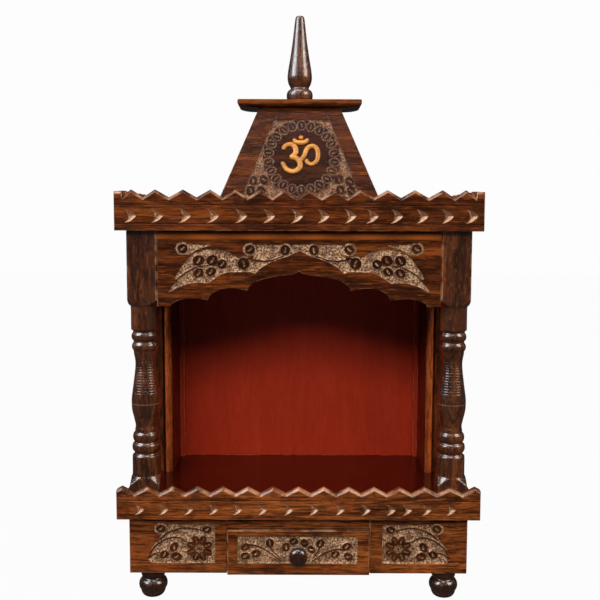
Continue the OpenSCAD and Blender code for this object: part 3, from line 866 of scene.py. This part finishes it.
@dataclass
class Columns:
    """The two turned columns: a square blank cut back by the lathe between its ends."""

    base: tuple = ((0, 24), (19, 24), (20.5, 21), (23.5, 18.4), (27, 16.2), (29.6, 15.2), (48, 15.0), (50.3, 13.9),
                   (52.6, 12.6), (64, 12.4), (75.5, 12.0), (78.5, 11.7), (82.3, 11.3), (90, 12.9), (98, 14.7),
                   (105.3, 15.2), (113, 14.9), (128, 12.9), (141, 11.2), (148.8, 10.7), (155, 11.2), (161, 12.2),
                   (172.5, 12.3), (183.2, 12.6), (184.6, 13.7), (186, 14.6), (209, 14.7), (211.2, 16.0),
                   (213.5, 18.3), (217, 21.5), (221, 24), (293, 24))
    beads: tuple = ((58.5, 5.0, 15.1), (69.6, 5.1, 14.3), (167.2, 4.4, 14.1), (178.0, 4.4, 14.4))
    grooves: tuple = tuple(118.0 + 2.8 * k for k in range(13))
    line: float = 106.0

    def radius(self, z: Array) -> Array:
        """Radius that the lathe leaves at height z: a line through the knots, swollen by round
        beads r = top - 2.6 (1 - sqrt(1 - t^2)), less fine V grooves.

        Args:
            z: Heights above the floor board.

        Returns:
            The radii.
        """
        knots = smooth_path(np.array(self.base, float), 0.6)
        r = np.interp(z, np.maximum.accumulate(knots[:, 0]), knots[:, 1])
        for middle, half, top in self.beads:
            t = np.clip(np.abs(z - middle) / half, 0, 1)
            r = np.where(t < 1, np.maximum(r, top - 2.6 * (1 - np.sqrt(1 - t * t))), r)
        for middle in self.grooves:
            r = r - np.clip(0.22 - np.abs(z - middle) * 0.3, 0, None)
        return r

    def shell(self, low: Array, high: Array) -> Shell:
        """Skin of one column, whose radius is the lesser of the square blank's and the lathe's.

        Args:
            low: Lowest corner of its box.
            high: Highest corner of its box.

        Returns:
            The shell.
        """
        (x, y, _), half, height = (low + high) / 2, (high[0] - low[0]) / 2, high[2] - low[2]
        z = np.unique(np.round(np.concatenate([[0, 0.3, 10], np.arange(17, 224, 0.9), np.arange(103, 156, 0.45),
                                               [240, 265, height - 0.3, height]]), 3))
        u = np.linspace(-1, 1, 24, endpoint=False)
        t = (np.pi / 4) * (0.4 * u + 0.6 * np.sin(u * np.pi / 2))
        t = np.concatenate([t + k * np.pi / 2 for k in range(4)])
        square = half / (np.abs(np.cos(t)) ** 26 + np.abs(np.sin(t)) ** 26) ** (1 / 26)
        r = np.minimum(square[None, :], self.radius(z)[:, None])
        shell = tube_shell(np.stack([x + r * np.cos(t), y + r * np.sin(t), low[2] + z[:, None] + 0 * r], -1))
        corner = (square[None, :] > half * 1.33) & (r >= square[None, :] - 0.01)
        shell.masks["worn"] = np.concatenate([corner.ravel() * 0.9, [0, 0]])
        scored = 0.5 * soft_step(np.abs(z - self.line) - 0.2, 0.25)[:, None] * np.ones_like(r)
        shell.masks["fresh_and_lit"] = np.concatenate([scored.ravel(), [0, 0]])
        return shell

    def build(self) -> None:
        """Makes both columns."""
        for side in ("left", "right"):
            shell = self.shell(*(np.array(c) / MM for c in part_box("column_" + side)))
            make_piece("turned_column_" + side, shell, TURNED_WOOD, stands_for=["column_" + side])


@dataclass
class Frieze:
    """The cusped arch panel with its carved band, and the plain friezes at the sides."""

    half: float = 148.1
    foot: float = 134.0
    rise: float = 37.0
    point: float = 4.5
    cusp_a: tuple = (53.6, 16.5)
    cusp_b: tuple = (95.1, 6.5)
    band: tuple = (((-130.9, 349.7), (-124.9, 358.6), (-118.2, 366.3), (-109.8, 373.8), (-97.7, 377.5),
                    (-85.2, 377.9), (-74.8, 375.5), (-66.6, 370.5), (-60.4, 366.3), (-50.4, 358.6), (-46.9, 353.4),
                    (-52.1, 355.0), (-64.6, 354.6), (-75.0, 354.2), (-83.4, 351.3), (-91.7, 345.5), (-95.9, 342.5),
                    (-104.3, 343.8), (-114.7, 342.4), (-125.2, 339.2), (-136.3, 333.4), (-133.0, 338.4),
                    (-127.0, 345.5)),
                   ((-44.7, 382.8), (0.8, 382.9), (0.8, 377.1), (-10.5, 371.7), (-29.2, 365.4), (-39.6, 359.5),
                    (-46.5, 353.0), (-51.4, 358.6), (-47.9, 368.0), (-45.3, 376.3)),
                   ((-115.2, 383.2), (-92.4, 382.1), (-101.8, 379.2), (-109.7, 375.8), (-114.3, 372.0),
                    (-117.8, 372.8), (-125.5, 373.5), (-127, 380), (-121.7, 384)))
    stems: tuple = (((-134.4, 341.0), (-128.0, 353.5), (-118.6, 366.4), (-109.7, 374.8), (-97.6, 379.6),
                     (-81.0, 380.8)),
                    ((-134.0, 339.9), (-122.9, 350.3), (-114.0, 356.0), (-106.2, 359.7), (-95.7, 361.2)),
                    ((-54.1, 368.4), (-39.6, 365.8), (-27.1, 367.2), (-16.7, 371.5)))
    buds: tuple = ((-121.5, 378.8, 5.6, 5.0, 0), (-105.1, 366.3, 6.6, 5.8, 20), (-90.9, 366.5, 6.6, 5.8, 20),
                   (-80.6, 362.6, 5.6, 5.2, 10), (-105.0, 353.4, 6.0, 4.9, 20), (-92.3, 354.9, 6.0, 4.6, 20),
                   (-58.3, 363.2, 6.6, 6.4, 70), (-51.6, 377.9, 5.6, 5.0, 0), (-15.0, 377.3, 5.6, 5.4, 40))

    def arch(self, x: Array) -> Array:
        """Height of the arch above its feet: an oval crown with a small point, then two lobes.

        Args:
            x: Distances from the middle.

        Returns:
            The heights.
        """
        u = np.abs(x)
        (xa, za), (xb, zb) = self.cusp_a, self.cusp_b
        t = np.clip(u / xa, 0, 1)
        crown = za + (self.rise - self.point - za) * np.sqrt(1 - t ** 2.4) + self.point * np.exp(-u / 6)

        def lobe(t: Array, low: float, high: float) -> Array:
            """Height in a side lobe, t from its inner end to its outer end."""
            t = np.clip(t, 0, 1)
            return low + (high - low) * (np.sqrt(1 - t ** 4) + 0.3 * np.sin(np.pi * t))

        inner = lobe((u - xa) / (xb - xa), zb, za)
        outer = lobe((u - xb) / (self.foot - xb), 0, zb)
        return np.where(u < xa, crown, np.where(u < xb, inner, np.where(u < self.foot, outer, 0)))

    def carve(self, work: Carving) -> None:
        """Carves the band of stems and buds, the same at both sides, and the scored top line.

        Args:
            work: The face to carve.
        """
        half = Carving(-np.abs(work.a - 0.4), work.b + 318)
        for outline in self.band:
            half.sink(outline)
        for path in self.stems:
            half.stem(path, 2.3, 1.5)
        for x, z, along, wide, turn in self.buds:
            half.sink_oval((x, z), (along + 1.5, wide + 1.5), turn)
            half.bud((x, z), (along, wide), turn)
        work.ground, work.raised, work.cut, work.stain_and_shade = half.ground, half.raised, half.cut, half.stain_and_shade
        work.score(np.abs(work.b - 66.8) - 0.25, 0.5)
        light = soft_step(np.abs(work.b - 73.5) - 3.2, 1.2)
        work.warm = light * (0.75 + 0.25 * np.sin(work.a * 0.11))

    def build(self) -> None:
        """Makes the arch panel and the side friezes."""
        low, high = (np.array(c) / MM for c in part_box("arch_panel"))
        knots = [s * k for s in (-1, 1) for k in (self.cusp_a[0], self.cusp_b[0], self.foot)] + [0]
        board = CarvedBoard(Face((0, low[1], low[2])), even(-self.half, self.half, 0.66, knots), self.arch,
                            lambda x: np.full(x.shape, high[2] - low[2]), high[1] - low[1], 124, self.carve)
        make_piece("carved_arch_panel", board.shell(), UPPER_WOOD, stands_for=["arch_panel"])
        for side in ("left", "right"):
            planed_copy("side_frieze_" + side, SIDE_WOOD)


@dataclass
class Shrine:
    """Back panel, walls, stiles with their beads, battens and the glossy floor."""

    bead: float = 8.5

    def build(self) -> None:
        """Makes the boards of the shrine."""
        # The floor takes a shaded copy of the red lacquer: painted shade.
        planed_copy("floor_board", SHADED_RED_FLOOR, 1.0)
        planed_copy("back_panel", RED_PANEL, 0.5)
        for side in ("left", "right"):
            # Shaded copy of the red lacquer: painted shade.
            planed_copy("wall_" + side, SHADED_RED_WALL, 0.5)
            planed_copy("corner_batten_" + side, RED_PANEL, 0.6)
            self.build_stile(side)

    def build_stile(self, side: str) -> None:
        """Makes a stile and the half-round bead on its inner edge.

        Args:
            side: Left or right.
        """
        low, high = (np.array(c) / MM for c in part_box("stile_" + side))
        sign = -1 if side == "left" else 1
        inner, outer = sorted((abs(low[0]), abs(high[0])))
        r = self.bead / 2
        front = low[1] + r
        t = np.linspace(0, np.pi, 15)
        half_round = np.column_stack([inner + r - (r - 0.15) * np.cos(t), front - r * np.sin(t)])
        bead = np.vstack([half_round, [(inner + 2 * r - 0.15, front + 3.9), (inner + 0.15, front + 3.9)]])
        e = 0.8
        flat = np.array([(inner + 2 * r, front + 4), (inner + 2 * r, front + 2.6), (inner + 2 * r + 2, front + 2.4),
                         (inner + 2 * r + 2, front + e), (inner + 2 * r + 2 + e, front), (outer - e, front),
                         (outer, front + e), (outer, high[1]), (inner, high[1]), (inner, front + 4)])
        for name, section, finish, nodes in (("bead_", bead, BEAD_WOOD, []),
                                             ("stile_board_", flat, UPRIGHT_WOOD, ["stile_" + side])):
            ring = np.column_stack([sign * section[:, 0], section[:, 1]])
            area = np.sum(ring[:, 0] * np.roll(ring[:, 1], -1) - np.roll(ring[:, 0], -1) * ring[:, 1])
            ring = ring if area > 0 else ring[::-1]
            z = np.array([low[2], high[2]])
            rings = np.stack([np.column_stack([ring, np.full(len(ring), h)]) for h in z])
            piece = make_piece(name + side, tube_shell(rings), finish, stands_for=nodes)
            flat_normals(piece.data)


@dataclass
class Base:
    """The box with its carved front, the rail and the feet."""

    ground: tuple = ((-138.9, 83.5), (-89.5, 83.5), (-89.6, 41.1), (-156.6, 41.1), (-162.1, 46.1), (-156.9, 57.8),
                     (-152.2, 64.5), (-147.6, 70.1), (-142.5, 76.2))
    stems: tuple = (((-147.8, 67.8), (-139.0, 75.0), (-127.0, 79.2), (-121.1, 80.1), (-111.6, 79.2), (-103.3, 77.2)),
                    ((-161.6, 46.3), (-155.5, 57.3), (-146.3, 65.3), (-135.5, 69.4), (-127.2, 68.8),
                     (-119.3, 64.1)),
                    ((-161.0, 46.6), (-154.8, 51.2), (-148.8, 53.1)))
    buds: tuple = ((-147.2, 79.2, 5.6, 4.4, 0), (-97.9, 78.2, 5.6, 4.2, 0), (-143.8, 50.8, 5.6, 4.4, 25),
                   (-133.4, 59.0, 6.2, 4.4, 55), (-130.8, 48.6, 6.2, 4.8, -10))
    flower: tuple = (-106.1, 57.4)
    petal_reach: float = 15.0

    def build(self) -> None:
        """Makes the boards of the box, its rail and its feet."""
        for side, sign in (("left", 1), ("right", -1)):
            self.build_front(side, sign)
            planed_copy("base_side_" + side, SIDE_WOOD)
        planed_copy("base_top_rail", FRONT_WOOD)
        planed_copy("base_back", FRONT_WOOD)
        planed_copy("base_bottom", INNER_WOOD, 0.4)
        for side in ("left", "right"):
            planed_copy("drawer_guide_" + side, INNER_WOOD, 0.4)
        Rail("base_rail", [26.74 * k for k in range(-7, 8)],
             [-168.3, -142.7, -116.4, -90.1, -64.5, -38.2, -10.6, 16.2, 43.7, 71.4, 97.8, 115.2, 135.5, 161.1],
             12.0, 11.2, (4.3, 20.4), 27.5, 7.0, FRONT_WOOD).build()
        for place in ("front_left", "front_right", "back_left", "back_right"):
            self.build_foot("foot_" + place)

    def build_front(self, side: str, sign: int) -> None:
        """Makes one carved front board.

        Args:
            side: Left or right.
            sign: 1 for the left board, -1 for its mirror image.
        """
        node = "base_front_" + side
        low, high = (np.array(c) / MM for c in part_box(node))

        def carve(work: Carving) -> None:
            """Carves the quarter fan with its flower, stems and buds."""
            half = Carving(work.a * sign + (0.9 if sign < 0 else 0), work.b + low[2])
            half.sink(self.ground)
            half.sink_oval(self.buds[0][:2], (7.2, 6.0))
            for path in self.stems:
                half.stem(path, 2.6, 1.8)
            for x, z, rx, rz, turn in self.buds:
                half.bud((x, z), (rx, rz), turn)
            half.flower(self.flower, self.petal_reach)
            work.ground, work.raised, work.cut, work.stain_and_shade = half.ground, half.raised, half.cut, half.stain_and_shade

        board = CarvedBoard(Face((0, low[1], low[2])), even(low[0], high[0], 0.62), lambda x: np.zeros(x.shape),
                            lambda x: np.full(x.shape, high[2] - low[2]), high[1] - low[1], 104, carve)
        make_piece("carved_" + node, board.shell(), FRONT_WOOD, stands_for=[node])

    def build_foot(self, node: str) -> None:
        """Makes one bun foot: a collar, a ball and a narrower tread below a groove.

        Args:
            node: The foot's CAD node.
        """
        low, high = (np.array(c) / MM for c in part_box(node))
        middle = (low + high) / 2
        knots = np.array([(7.0, 0), (8.8, 0.3), (10.6, 1.3), (12.0, 3.0), (12.9, 5.0), (13.2, 6.2), (12.9, 6.9),
                          (13.6, 7.7), (14.9, 10.0), (15.4, 13.0), (14.8, 16.2), (13.2, 18.8), (11.6, 20.4),
                          (11.0, 21.6), (11.7, 22.6), (12.6, 23.2), (12.8, 24.4), (12.8, 29.9)])
        shell = turned_shell(smooth_path(knots, 0.4))
        shell.points += [middle[0], middle[1], low[2]]
        make_piece("turned_" + node, shell, DARK_TURNED, stands_for=[node])


@dataclass
class Drawer:
    """The drawer: its carved front, its plain box and its turned knob."""

    recess: tuple = ((-64.6, 72.4), (62.5, 72.4), (62.5, 43.2), (-64.6, 43.2))
    buds: tuple = ((-56.6, 61.2, 5.3, 4.2, 20), (-56.7, 51.3, 5.5, 4.2, 0), (-45.1, 54.2, 5.5, 4.5, 10),
                   (-30.5, 65.6, 5.1, 4.6, 60), (-13.2, 61.2, 5.3, 4.6, 60), (-5.1, 67.6, 5.3, 4.2, 0),
                   (6.6, 65.6, 5.1, 4.4, -40), (23.3, 65.3, 5.3, 4.4, 40), (39.3, 53.3, 5.3, 4.2, 20),
                   (51.6, 62.0, 5.9, 4.0, 15), (53.4, 50.8, 5.5, 4.4, -30), (13.8, 58.6, 4.9, 4.0, -50))
    stems: tuple = (((-52.5, 63.5), (-44.0, 62.0), (-34.5, 57.6), (-26.0, 51.5), (-18.6, 46.0)),
                    ((-31.8, 63.4), (-27.2, 56.6), (-20.0, 49.8)),
                    ((49.3, 58.3), (40.0, 58.6), (30.2, 55.6), (22.6, 51.2), (16.2, 46.4)),
                    ((24.2, 63.4), (20.6, 56.1), (16.0, 49.2)))

    def carve(self, work: Carving) -> None:
        """Carves the sunk panel with its stems and buds.

        Args:
            work: The face to carve.
        """
        work.b = work.b + 30
        work.sink(self.recess)
        for path in self.stems:
            work.stem(path, 2.4, 1.8)
        for x, z, rx, rz, turn in self.buds:
            work.bud((x, z), (rx, rz), turn)

    def build(self) -> None:
        """Makes the drawer."""
        low, high = (np.array(c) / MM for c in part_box("drawer_front"))
        board = CarvedBoard(Face((0, low[1], low[2])), even(low[0], high[0], 0.62), lambda x: np.zeros(x.shape),
                            lambda x: np.full(x.shape, high[2] - low[2]), high[1] - low[1], 82, self.carve,
                            arris=1.2, top_arris=1.2)
        make_piece("carved_drawer_front", board.shell(), FRONT_WOOD, DRAWER, ["drawer_front"])
        for node in ("drawer_side_left", "drawer_side_right", "drawer_back", "drawer_bottom"):
            planed_copy(node, INNER_WOOD, 0.5, DRAWER)
        low, high = (np.array(c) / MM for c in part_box("drawer_knob"))
        middle = (low + high) / 2
        knots = np.array([(7.6, 0), (7.6, 0.9), (6.6, 1.9), (5.0, 3.0), (4.9, 3.9), (6.4, 4.9), (8.6, 6.4),
                          (9.75, 8.8), (9.75, 11.2), (8.6, 13.9), (6.2, 15.9), (3.2, 16.8), (0.6, 17.0)])
        shell = turned_shell(smooth_path(knots, 0.35))
        x, y, z = shell.points.T
        shell.points = np.column_stack([middle[0] + x, high[1] - z, middle[2] + y])
        make_piece("turned_knob", shell, DARK_TURNED, DRAWER, ["drawer_knob"])


@dataclass
class Tower:
    """Roof board, cornices, the four leaning boards, the cap, the finial and the Om sign."""

    centre: tuple = (2.0, 68.5)
    ring: tuple = (35.7, 38.2)
    petals: int = 22
    frame_lines: tuple = (((-24.1, 118.8), (-62.5, 18.2)), ((29.2, 118.8), (66.4, 18.2)))
    leaves: tuple = ((-49.3, 41.2, 65), (-37.9, 42.4, 110), (41.6, 42.9, 65), (52.8, 40.5, 115),
                     (-51.7, 30.0, 75), (-40.4, 29.6, 100), (43.0, 30.4, 75), (54.6, 29.6, 100))
    om: tuple = ((((-17.9, 76.8), (-15.0, 82.0), (-9.0, 83.5), (-4.7, 79.7), (-4.2, 73.5), (-8.1, 69.3), (-10.6, 68.3)), 4.6, 5.6, 0.6),
                 (((-10.6, 68.3), (-5.1, 67.8), (-0.3, 64.1), (0.5, 57.5), (-3.3, 52.8), (-8.8, 51.9), (-14.0, 54.7), (-17.4, 60.3), (-18.5, 63.1)), 5.9, 4.6, 0.6),
                 (((-1.6, 65.5), (2.2, 66.0), (5.2, 70.7), (7.4, 77.3), (11.2, 81.1), (16.0, 81.1), (19.4, 76.3), (19.7, 68.8), (17.6, 63.1), (12.9, 60.3), (8.6, 62.2), (7.3, 66.4)), 4.8, 4.4, 0.6),
                 (((-6.8, 90.1), (-3.8, 86.8), (1.1, 85.6), (6.5, 87.0), (9.5, 90.4)), 3.4, 3.4, 2.4),
                 (((-1.0, 91.1), (1.6, 91.6), (4.2, 91.1)), 5.2, 5.2, 0.0))

    def build(self) -> None:
        """Makes the roof, the cornices and the tower."""
        planed_copy("roof_board", SIDE_WOOD)
        Rail("cornice_front", [-172.9, -148.2, -119.5, -91.5, -66.1, -40.1, -15.4, 9.9, 36.5, 62.5, 90.5, 118.6,
                               147.2, 171.3],
             [-173.4, -145.9, -117.3, -88.5, -59.7, -31.1, -2.3, 24.8, 52.3, 75.1, 100.0, 126.1, 152.2, 177.2],
             14.5, 15.3, (7.0, 26.0), 34.0, 8.0, UPPER_WOOD, stop=8.0).build()
        for side in ("left", "right"):
            planed_copy("cornice_" + side, SIDE_WOOD, 1.2)
            planed_copy("tower_" + side, SIDE_WOOD)
        planed_copy("tower_back", FRONT_WOOD)
        self.build_front()
        self.build_cap()
        self.build_finial()

    def slope(self) -> tuple[Face, float, float, float]:
        """Place of the front board's face.

        Returns:
            The face, the board's slope length, its half width and its lean per mm of slope.
        """
        low, high = (np.array(c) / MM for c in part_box("tower_front"))
        thick = 9.0
        lean, tall = high[1] - low[1] - thick, high[2] - low[2]
        length = math.hypot(lean, tall)
        return Face((0, low[1], low[2]), (0, lean / length, tall / length)), length, high[0], lean / length

    def carve(self, work: Carving) -> None:
        """Carves the ring of petals round a plain disc on a punched ground between two lines.

        Args:
            work: The face to carve.
        """
        inner = [(-27.7, 112.3), (32.3, 112.3), (65.6, 16.2), (-62.2, 16.2)]
        work.sink(inner)
        wide, tall = self.ring
        x, z = work.a - self.centre[0], (work.b - self.centre[1]) * wide / tall
        angle = np.arctan2(z, x)
        for x0, z0, turn in self.leaves:
            work.bud((x0, z0), (5.8, 4.9), turn)
        work.leave(np.hypot(x, z) - wide - 5.0 - 1.3 * np.abs(np.cos(angle * self.petals / 2)))
        for k in range(self.petals):
            t = 360 / self.petals * (k + 0.5)
            c, s = math.cos(math.radians(t)), math.sin(math.radians(t))
            place, half = (self.centre[0] + wide * c, self.centre[1] + tall * s), (5.5, 4.5)
            work.score(np.abs(oval_distance(work.a, work.b, place, half, t)) - 0.35, 0.8)
            work.petal(place, (5.2, 4.2), t)
        for (x0, s0), (x1, s1) in self.frame_lines:
            work.score(stroke_distance(work.a, work.b, ((x0, s0), ((x0 + x1) / 2, (s0 + s1) / 2), (x1, s1)), 0.8), 0.7)

    def build_front(self) -> None:
        """Makes the carved front board and the Om sign on it."""
        face, length, half, lean = self.slope()
        board = TaperedBoard(face, even(-1, 1, 0.0082) * half, lambda x: np.zeros(x.shape),
                             lambda x: np.full(x.shape, length), 9.0, 150, self.carve,
                             narrow=1 - lean * length / half, length=length)
        make_piece("carved_tower_front", board.shell(), TOWER_WOOD, stands_for=["tower_front"])
        parts = [self.ribbon(face, np.array(path, float), *widths) for path, *widths in self.om]
        count, points, faces = 0, [], []
        for part in parts:
            points.append(part.points)
            faces += [block + count for block in part.faces]
            count += len(part.points)
        make_piece("om_sign", Shell(np.vstack(points), faces), OCHRE_PAINT)

    def ribbon(self, face: Face, path: Array, start: float, end: float, swell: float) -> Shell:
        """A stroke of the sign: a low dome carried along a smooth path, with round ends.

        Args:
            face: The face that it lies on.
            path: Knots of the stroke.
            start: Width at its start.
            end: Width at its end.
            swell: What its middle is wider.

        Returns:
            The shell.
        """
        curve = smooth_path(path, 0.35)
        run = np.concatenate([[0], np.cumsum(np.linalg.norm(np.diff(curve, axis=0), axis=1))])
        middle = np.sin(np.pi * np.clip(run / run[-1], 0, 1)) * swell
        half = (start + (end - start) * run / run[-1] + middle) / 2
        near = np.minimum(run, run[-1] - run)
        half = half * np.sqrt(np.clip(1 - (1 - np.clip(near / half, 0, 1)) ** 2, 0.004, 1))
        along = np.gradient(curve, axis=0)
        along /= np.linalg.norm(along, axis=1, keepdims=True)
        side = np.column_stack([-along[:, 1], along[:, 0]])
        t = np.linspace(0, np.pi, 13)
        across = np.concatenate([np.cos(t), [-0.5, 0.5]])
        rise = np.concatenate([np.sin(t) * 2.2, [0, 0]]) * np.clip(half, 0, 2)[:, None] / 2 - 0.3
        spot = curve[:, None, :] + side[:, None, :] * (half[:, None] * across)[..., None]
        rings = face.place(spot[..., 0], spot[..., 1], -rise)
        return tube_shell(rings[:, ::-1])

    def build_cap(self) -> None:
        """Makes the cap: rounded rectangles stacked along a quarter round and a square edge."""
        low, high = (np.array(c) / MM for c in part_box("tower_cap"))
        middle, half = (low + high) / 2, (high - low) / 2
        t = np.radians(np.linspace(0, 90, 10))
        lap, front, drop, tall = 23.2, 6.0, 4.4, high[2] - low[2]
        levels = [(lap * (1 - math.sin(v)), front * (1 - math.sin(v)), drop * (1 - math.cos(v))) for v in t]
        levels += [(0, 0, drop + 1.0), (0, 0, tall - 0.9), (0.25, 0.25, tall - 0.25), (0.9, 0.9, tall)]
        levels = np.array(levels)
        u = np.linspace(-1, 1, 40, endpoint=False)
        around = np.concatenate([(np.pi / 4) * np.sin(u * np.pi / 2) + k * np.pi / 2 for k in range(4)])
        c, s = np.cos(around), np.sin(around)
        n = 60
        reach = (np.abs(c) ** n + np.abs(s) ** n) ** (-1 / n)
        x = middle[0] + (half[0] - levels[:, :1]) * (c * reach)
        y = middle[1] + (half[1] - levels[:, 1:2]) * (s * reach)
        z = low[2] + levels[:, 2:] + 0 * x
        piece = make_piece("tower_cap_wood", tube_shell(np.stack([x, y, z], -1)), UPPER_WOOD,
                           stands_for=["tower_cap"])
        flat_normals(piece.data)

    def build_finial(self) -> None:
        """Makes the turned finial: a ball, a neck and a long bulb that tapers to a blunt tip."""
        low, high = (np.array(c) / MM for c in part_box("finial"))
        middle = (low + high) / 2
        knots = np.array([(10.4, 0), (12.6, 0.9), (14.0, 3.2), (14.45, 6.2), (14.2, 9.2), (12.9, 11.9), (10.6, 13.7),
                          (9.95, 14.6), (10.5, 16.2), (12.2, 19.4), (13.3, 23.6), (13.5, 28.0), (12.7, 35.1),
                          (11.6, 41.6), (10.5, 48.1), (9.5, 54.6), (8.55, 61.1), (7.7, 67.6), (6.95, 74.0),
                          (6.2, 80.5), (5.5, 86.9), (4.9, 90.6), (4.0, 92.4), (2.4, 93.0), (0.6, 93.0)])
        profile = smooth_path(knots, 0.6)
        profile[:, 1] = np.clip(profile[:, 1], 0, high[2] - low[2])
        shell = turned_shell(profile)
        shell.points += [middle[0], middle[1], low[2]]
        make_piece("turned_finial", shell, TURNED_WOOD, stands_for=["finial"])


@dataclass
class TaperedBoard(CarvedBoard):
    """A carved board that narrows evenly towards its top. The carving reads true distances."""

    narrow: float = 1.0
    length: float = 1.0

    def shell(self) -> Shell:
        """The shell of the straight board, with each point drawn in by its height."""
        carve = self.carve

        def true_carve(work: Carving) -> None:
            """Carves with the places that the points end up at."""
            work.a = work.a * (1 - (1 - self.narrow) * work.b / self.length)
            carve(work)

        self.carve = true_carve
        shell = super().shell()
        up = (shell.points[:, 2] - self.face.origin[2]) / (self.face.up[2] * self.length)
        shell.points[:, 0] *= 1 - (1 - self.narrow) * up
        return shell


# Stage

class Studio:
    """White floor and backdrop, soft lights and the camera at the photograph's view."""

    def build(self) -> None:
        """Makes the stage."""
        self.build_camera()
        self.build_floor()
        self.build_world()
        aim = (0, -0.05, 0.3)
        self.build_light("left_box", (-1.22, -0.68, 1.3), aim, (1.0, 1.1), 24, (0.9, 0.95, 1.0))
        self.build_light("right_box", (1.24, -0.74, 1.2), aim, (0.85, 0.9), 15, (1.0, 0.9, 0.78))
        self.build_light("top_box", (-0.2, -0.42, 1.75), (0, -0.1, 0.4), (1.3, 0.5), 9, (0.95, 0.97, 1.0))
        self.build_light("front_fill", (-0.15, -2.2, 1.5), aim, (0.9, 0.7), 48, (1, 0.97, 0.93)).visible_glossy = False

    @staticmethod
    def build_camera() -> None:
        """A 50 mm lens, 0.86 m in front of the rails, looking down by 5 degrees."""
        camera = bpy.data.cameras.new("camera")
        camera.sensor_width, camera.lens = 36.0, 49.98
        view = bpy.data.objects.new("camera", camera)
        view.location = (0.001, -0.952, 0.4031)
        view.rotation_euler = (math.radians(84.86), math.radians(-0.168), math.radians(0.015))
        bpy.context.scene.collection.objects.link(view)
        bpy.context.scene.camera = view

    @staticmethod
    def build_floor() -> None:
        """A white floor that keeps part of the shadow."""
        mesh = bpy.data.meshes.new("studio_floor")
        mesh.from_pydata([(-6, -6, 0), (6, -6, 0), (6, 6, 0), (-6, 6, 0)], [], [(0, 1, 2, 3)])
        floor = bpy.data.objects.new("studio_floor", mesh)
        bpy.context.scene.collection.objects.link(floor)
        material = bpy.data.materials.new("studio_floor")
        material.use_nodes = True
        tree = Tree(material.node_tree)
        shader = material.node_tree.nodes["Principled BSDF"]
        shader.inputs["Base Color"].default_value = (0.15, 0.15, 0.15, 1)
        shader.inputs["Roughness"].default_value = 0.9
        glow = tree.add("Emission", {"Color": (1, 1, 1, 1), "Strength": 1.0})
        share = tree.math("MULTIPLY", tree.add("LightPath").outputs["Is Camera Ray"], 0.97)
        both = tree.add("MixShader", {0: share, 1: shader.outputs[0], 2: glow.outputs[0]})
        output = material.node_tree.nodes["Material Output"]
        tree.tree.links.new(both.outputs[0], output.inputs["Surface"])
        floor.data.materials.append(material)
        floor.visible_glossy = False

    @staticmethod
    def build_world() -> None:
        """Soft grey light from all round, white to the camera."""
        world = bpy.data.worlds.new("studio")
        bpy.context.scene.world = world
        world.use_nodes = True
        tree = Tree(world.node_tree)
        back = world.node_tree.nodes["Background"]
        back.inputs["Color"].default_value = (1, 1, 1, 1)
        seen = tree.math("MULTIPLY", tree.add("LightPath").outputs["Is Camera Ray"], 0.98)
        strength = tree.math("MAXIMUM", seen, 0.04)
        tree.tree.links.new(strength, back.inputs["Strength"])

    @staticmethod
    def build_light(name: str, place: tuple, aim: tuple, size: tuple, power: float,
                    colour: tuple) -> bpy.types.Object:
        """Adds a soft box.

        Args:
            name: Its name.
            place: Where it stands, in metres.
            aim: The point that it faces.
            size: Its width and height.
            power: Its power in watts.
            colour: Its colour.

        Returns:
            The lamp.
        """
        light = bpy.data.lights.new(name, "AREA")
        light.shape, light.size, light.size_y = "RECTANGLE", *size
        light.energy, light.color = power, colour
        lamp = bpy.data.objects.new(name, light)
        lamp.location = place
        lamp.rotation_euler = (Vector(aim) - Vector(place)).to_track_quat("-Z", "Y").to_euler()
        bpy.context.scene.collection.objects.link(lamp)
        return lamp


def main() -> None:
    logging.basicConfig(level=logging.INFO, format="%(name)s: %(message)s")
    bpy.context.scene.view_settings.view_transform = "Standard"
    Studio().build()
    Base().build()
    Drawer().build()
    Shrine().build()
    Columns().build()
    Frieze().build()
    Tower().build()


if __name__ == "__main__":
    main()
